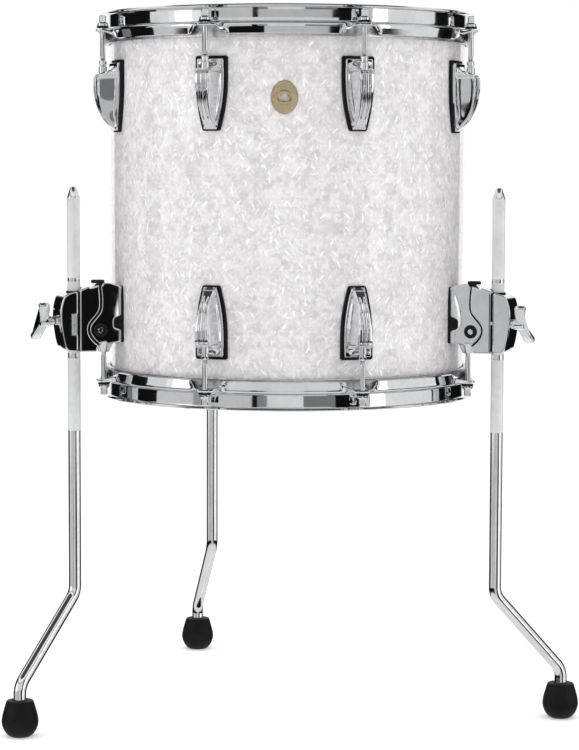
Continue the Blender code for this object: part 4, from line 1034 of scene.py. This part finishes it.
BASE_HALF = 0.0123
RUBBER_FACE = 0.0129
CLAMP_FACES = (-0.0154, 0.0134)
CAST_EDGE, JAW_EDGE = 0.0014, 0.0015
LEG_HOLE_R, HOLE_HALF = 0.0079, 0.06
WINDOW_ENDS = (-0.0212, 0.0008)
PIVOT_OUT, PIVOT_UP = 0.0223, -0.0162
WING_EDGE, WING_HALF = 0.0015, 0.0023
WING_LEANS = {"left": 44.0, "right": -44.0, "back": 44.0}
joints = {joint["name"]: joint for joint in frame["joints"]}
for name, lean in WING_LEANS.items():
    leg_axis = np.array(joints[f"{name}_leg_swivel"]["pos_m"][:2]) - DRUM_AXIS
    station = math.atan2(leg_axis[1], leg_axis[0])
    outward = np.array([math.cos(station), math.sin(station), 0.0])
    anticlock = np.array([-math.sin(station), math.cos(station), 0.0])

    def at(out, across, up_by):
        """A point of this bracket: out from the shell's face, across, and up from its middle."""
        return station_points(np.float64(SEAT + out), np.float64(across), np.float64(BRACKET_MIDDLE + up_by),
                              station, 1)

    leg_hole = bar_mesh("hole", [(0, -HOLE_HALF), (LEG_HOLE_R, -HOLE_HALF), (LEG_HOLE_R, HOLE_HALF),
                                 (0, HOLE_HALF)],
                        at(LEG_OUT - SEAT, 0, 0), (0, 0, 1), 48)
    base = slab(f"{name}_base_casting", base_outline, -BASE_HALF, BASE_HALF, CAST_EDGE, station)
    boss = [(0, 0.0), (0.0030, 0.0), (0.0050, 0.0004), (0.0056, 0.0012), (0.0092, 0.0098),
            (0.0098, 0.0125), (0, 0.0125)]
    add_piece(f"{name}_base_casting", base, chrome, "drum", [f"{name}_bracket_base"])
    boss_mesh = bar_mesh(f"{name}_rod_boss", boss, at(ROD_CIRCLE - SEAT, 0, -0.0386), (0, 0, 1))
    add_piece(f"{name}_rod_boss", boss_mesh, chrome, "drum")
    sheet = slab(f"{name}_joint_rubber", rubber_outline, -RUBBER_FACE, RUBBER_FACE, 0.0002, station)
    add_piece(f"{name}_joint_rubber", sheet, black_rubber, "drum")
    clamp = slab(f"{name}_clamp_casting", clamp_outline, *CLAMP_FACES, CAST_EDGE, station, [leg_hole.copy()])
    add_piece(f"{name}_clamp_casting", clamp, chrome, "drum", [f"{name}_clamp_body"])
    corners = [at(o, a, u) for u in WINDOW_ENDS for o, a in
               ((0.0458, 0.0088), (0.0530, 0.0088), (0.0530, 0.0200), (0.0458, 0.0200))]
    window = mesh_from("window", corners, [(0, 1, 2, 3), (7, 6, 5, 4), (0, 4, 5, 1), (1, 5, 6, 2),
                                           (2, 6, 7, 3), (3, 7, 4, 0)])
    jaw = slab(f"{name}_jaw_casting", jaw_outline, *CLAMP_FACES, JAW_EDGE, station,
               [leg_hole.copy(), window])
    add_piece(f"{name}_jaw_casting", jaw, chrome, f"{name}_jaw", [f"{name}_clamp_jaw"])
    barrel = [(0, -0.0208), (0.0022, -0.0208), (0.0026, -0.0204), (0.0026, -0.0106), (0.0023, -0.0103),
              (0.0026, -0.0100), (0.0026, 0.0000), (0.0022, 0.0004), (0, 0.0004)]
    barrel_mesh = bar_mesh(f"{name}_hinge_barrel", barrel, at(0.0494, 0.0104, 0), (0, 0, 1))
    add_piece(f"{name}_hinge_barrel", barrel_mesh, chrome, f"{name}_jaw")
    for face, mark in ((RUBBER_FACE, 1), (-RUBBER_FACE, -1)):
        tag = "outer" if mark > 0 else "inner"
        bush = [(0, 0.0), (0.0066, 0.0), (0.0066, 0.0007), (0.0062, 0.0012), (0.0040, 0.0012),
                (0.0036, 0.0006), (0, 0.0006)]
        bush_at = at(PIVOT_OUT, face - mark * 0.0008, PIVOT_UP)
        add_piece(f"{name}_{tag}_bush", bar_mesh(f"{name}_{tag}_bush", bush, bush_at, mark * anticlock),
                  black_nylon, "drum")
        screw = [(0, 0.0002), (0.0028, 0.0002), (0.0028, 0.0009), (0.0024, 0.0013), (0.0015, 0.0013),
                 (0.0014, 0.0004), (0, 0.0004)]
        screw_at = at(PIVOT_OUT, face - mark * 0.0004, PIVOT_UP)
        add_piece(f"{name}_{tag}_screw",
                  bar_mesh(f"{name}_{tag}_screw", screw, screw_at, mark * anticlock, 24),
                  chrome, "drum")
    cap = [(0, -0.001), (0.0066, -0.001), (0.0066, 0.0016), (0.0060, 0.0022), (0, 0.0022)]
    add_piece(f"{name}_top_plug", bar_mesh(f"{name}_top_plug", cap, at(0.0215, 0, 0.0304), (0, 0, 1)),
              black_nylon, "drum")
    tube = [(0.0066, -0.0364), (0.0075, -0.0364), (0.0076, -0.0360), (0.0076, 0.0218), (0.0075, 0.0222),
            (0.0066, 0.0222)]
    tube += tube[:1]
    liner = bar_mesh(f"{name}_clamp_liner", tube, at(LEG_OUT - SEAT, 0, 0), (0, 0, 1), 48)
    add_piece(f"{name}_clamp_liner", liner, black_nylon, f"{name}_liner",
              [f"{name}_leg_liner"])
    # The gasket behind the base follows the shell and narrows a little towards its top.
    shade = np.linspace(-1, 1, 15)[None, :]
    top_corner = np.clip(1 - (GASKET_TOP - gasket_up) / 0.002, 0, 1) ** 2
    foot_corner = np.clip(1 - (gasket_up - GASKET_FOOT) / 0.002, 0, 1) ** 2
    half_wide = (0.0134 - 0.0012 * smooth(gasket_up, 0.010, GASKET_TOP) - 0.0010 * top_corner
                 - 0.0010 * foot_corner)[:, None]
    across = half_wide * shade
    rise_by = BRACKET_MIDDLE + gasket_up[:, None] + 0 * across
    sheets = [np.stack([np.sqrt(radius ** 2 - across ** 2), across, rise_by], -1).reshape(-1, 3)
              for radius in (0.1797, 0.1776)]
    rows, columns = across.shape
    count = rows * columns
    faces = grid_faces(rows, columns, False, False)
    loop = (list(range(columns)) + [r * columns + columns - 1 for r in range(1, rows)]
            + [(rows - 1) * columns + k for k in range(columns - 2, -1, -1)]
            + [r * columns for r in range(rows - 2, 0, -1)])
    walls = [[a, b, count + b, count + a] for a, b in zip(loop, loop[1:] + loop[:1])]
    under = [[count + k for k in reversed(face)] for face in faces]
    points = np.concatenate(sheets)
    placed = station_points(points[:, 0], points[:, 1], points[:, 2], station, 1)
    add_piece(f"{name}_base_gasket", mesh_from(f"{name}_base_gasket", placed, faces + under + walls),
              black_rubber, "drum")

    # The wing bolt turns about a line out from the drum: a stem, a hub and two swept wings.
    bolt_at = at(0, BOLT_ACROSS, BOLT_UP)
    stem = [(0, 0.0410), (0.0022, 0.0410), (0.0025, 0.0416), (0.0025, 0.0634), (0.0040, 0.0636),
            (0.0046, 0.0642), (0.0046, 0.0662), (0.0052, 0.0668), (0.0055, 0.0680), (0.0055, 0.0752),
            (0.0048, 0.0768), (0.0030, 0.0776), (0, 0.0778)]
    add_piece(f"{name}_bolt_stem", bar_mesh(f"{name}_bolt_stem", stem, bolt_at, outward), chrome,
              f"{name}_wing_bolt", [f"{name}_wing_bolt"])
    wing = rounded(np.array([(68.6, 0.0), (68.8, 4.2), (71.6, 23.6), (75.2, 25.2), (81.6, 24.6), (82.6, 21.8),
                             (78.2, 5.0), (77.2, 0.0), (78.2, -5.0), (82.6, -21.8), (81.6, -24.6),
                             (75.2, -25.2), (71.6, -23.6), (68.8, -4.2)]) / 1000, 0.0026)
    lean_by = math.radians(lean)
    into = inward(wing)
    turn_by = np.radians([0, 22.5, 45, 67.5, 90])
    rise = WING_EDGE * (1 - np.cos(turn_by))
    levels = np.concatenate([-WING_HALF + rise, (WING_HALF - rise)[::-1]])
    draw = WING_EDGE * (1 - np.sin(turn_by))
    draws = np.concatenate([draw, draw[::-1]])
    rings = wing[None] + into[None] * draws[:, None, None]
    thick = levels[:, None] * (1.0 + 0.25 * np.abs(rings[..., 1]) / 0.027)
    across = BOLT_ACROSS + rings[..., 1] * math.sin(lean_by) + thick * math.cos(lean_by)
    rise_by = BRACKET_MIDDLE + BOLT_UP + rings[..., 1] * math.cos(lean_by) - thick * math.sin(lean_by)
    points = station_points(SEAT + rings[..., 0], across, rise_by, station, 1)
    count = len(wing)
    faces = grid_faces(len(levels), count, False, True)
    faces += [list(range(count)), list(range((len(levels) - 1) * count, len(levels) * count))[::-1]]
    add_piece(f"{name}_wings", mesh_from(f"{name}_wings", points, faces), chrome, f"{name}_wing_bolt")


# ---------------------------------------------------------------------------------------------
# Legs. Half-inch steel rod, bent twice and chromed. The upper part is rolled between dies to a straight
# knurl for the clamp to bite, broken by two smooth bands, and its top is turned to a blunt point.
# ---------------------------------------------------------------------------------------------

rod_chrome = metal("leg_chrome", (0.87, 0.875, 0.88), (0.77, 0.775, 0.78), 0.05, 0.12, 30.0)

LEG_R = 0.00625
LEG_TOP = 0.5290
KNURL_STRETCHES = ((0.5175, 0.4402), (0.4363, 0.3668), (0.3614, 0.2906))
UPPER_BEND = 0.1298
LOWER_BEND = 0.0487
LEG_REACH = 0.0772
BEND_RADIUS = 0.020


def roughen_knurl(material):
    """The ridges scatter light, so the knurled stretches are rougher than the bare rod."""
    tree = material.node_tree
    shader = next(item for item in tree.nodes if item.type == "BSDF_PRINCIPLED")
    bare = shader.inputs["Roughness"].links[0].from_socket
    place = node(tree, "ShaderNodeTexCoord").outputs["Object"]
    up_by = node(tree, "ShaderNodeSeparateXYZ", {0: place}).outputs[2]
    rolled = None
    for high_end, low_end in KNURL_STRETCHES:
        stretch = band(tree, up_by, low_end, high_end, 0.0003)
        rolled = stretch if rolled is None else maths(tree, "MAXIMUM", rolled, stretch)
    rough = node(tree, "ShaderNodeMix", {0: rolled, 2: bare, 3: 0.30}).outputs[0]
    tree.links.new(rough, shader.inputs["Roughness"])
    # The light caught between the ridges comes from all round, as from a pale matt surface.
    scattered = node(tree, "ShaderNodeMapRange", {0: rolled, 3: 1.0, 4: 0.42}).outputs[0]
    tree.links.new(scattered, shader.inputs["Metallic"])


roughen_knurl(rod_chrome)


def leg_path():
    """Points down the leg's centre line as (reach, height, radius, knurl): straight runs joined by two
    arcs, with extra rows where the section changes."""
    rows = [(0, LEG_TOP, 0.0008, 0), (0, LEG_TOP - 0.0006, 0.0022, 0), (0, LEG_TOP - 0.0016, 0.0032, 0),
            (0, 0.5186, LEG_R - 0.0002, 0), (0, 0.5180, LEG_R, 0)]
    for high_end, low_end in KNURL_STRETCHES:
        rows += [(0, high_end, LEG_R, 0), (0, high_end - 0.0006, LEG_R, 1), (0, low_end + 0.0006, LEG_R, 1),
                 (0, low_end, LEG_R, 0)]
    slope = math.atan2(LEG_REACH, UPPER_BEND - LOWER_BEND)
    tangent = BEND_RADIUS * math.tan(slope / 2)
    turned_by = np.linspace(0, slope, 14)
    rows += [(BEND_RADIUS * (1 - math.cos(a)), UPPER_BEND + tangent - BEND_RADIUS * math.sin(a), LEG_R, 0)
             for a in turned_by]
    back = turned_by[::-1]
    rows += [(LEG_REACH - BEND_RADIUS * (1 - math.cos(a)),
              LOWER_BEND - tangent + BEND_RADIUS * math.sin(a), LEG_R, 0)
             for a in back]
    rows += [(LEG_REACH, 0.0156, LEG_R, 0)]
    return np.array(rows)


def leg_mesh(name, axis, foot, ridges=44, per_ridge=4):
    """A round section carried along the path, square to it. On the knurl the radius rises and falls
    round the section once for each ridge."""
    path = leg_path()
    ahead = np.gradient(path[:, :2], axis=0)
    ahead /= np.linalg.norm(ahead, axis=1, keepdims=True)
    toward = (foot - axis) / np.linalg.norm(foot - axis)
    sideways = np.array([-toward[1], toward[0]])
    around = ridges * per_ridge
    angle = np.linspace(0, 2 * np.pi, around, endpoint=False)[None, :]
    ridge = np.abs(np.sin(angle * ridges / 2))
    radius = path[:, 2:3] - path[:, 3:4] * 0.00022 * (1 - ridge)
    normal = np.stack([-ahead[:, 1], ahead[:, 0]], -1)
    reach = path[:, 0:1] + radius * np.cos(angle) * normal[:, 0:1]
    up_by = path[:, 1:2] + radius * np.cos(angle) * normal[:, 1:2]
    side_by = radius * np.sin(angle)
    points = np.stack([axis[0] + reach * toward[0] + side_by * sideways[0],
                       axis[1] + reach * toward[1] + side_by * sideways[1], up_by], -1)
    rows = len(path)
    faces = grid_faces(rows, around, False, True)
    faces += [list(range(around)), list(range((rows - 1) * around, rows * around))[::-1]]
    return mesh_from(name, points, faces, 50)


def foot_centre(name):
    low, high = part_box(f"{name}_foot")
    return (np.array(low)[:2] + np.array(high)[:2]) / 2


for name in WING_LEANS:
    axis = np.array(joints[f"{name}_leg_swivel"]["pos_m"][:2])
    add_piece(f"{name}_knurled_leg", leg_mesh(f"{name}_knurled_leg", axis, foot_centre(name)), rod_chrome,
              f"{name}_leg", [f"{name}_leg"])


# ---------------------------------------------------------------------------------------------
# Feet. Moulded rubber bulbs pushed onto the ends of the legs, widest below the middle, with a flat
# sole.
# ---------------------------------------------------------------------------------------------

for name in WING_LEANS:
    bulb = [(0, 0.0152), (0.0065, 0.0152), (0.0065, 0.0344), (0.0070, 0.0350), (0.0118, 0.0350),
            (0.0127, 0.0347), (0.0132, 0.0340), (0.0141, 0.0313), (0.0153, 0.0272), (0.0166, 0.0226),
            (0.0175, 0.0182), (0.01785, 0.0145), (0.0173, 0.0108), (0.0161, 0.0074), (0.0148, 0.0050),
            (0.0138, 0.0036), (0.0126, 0.0022), (0.0110, 0.0009),
            (0.0096, 0.0001), (0.0090, 0.0), (0, 0.0)]
    bulb = np.array(bulb)
    add_piece(f"{name}_rubber_bulb", upright_mesh(f"{name}_rubber_bulb", foot_centre(name), bulb, 72),
              black_rubber,
              f"{name}_leg", [f"{name}_foot"])
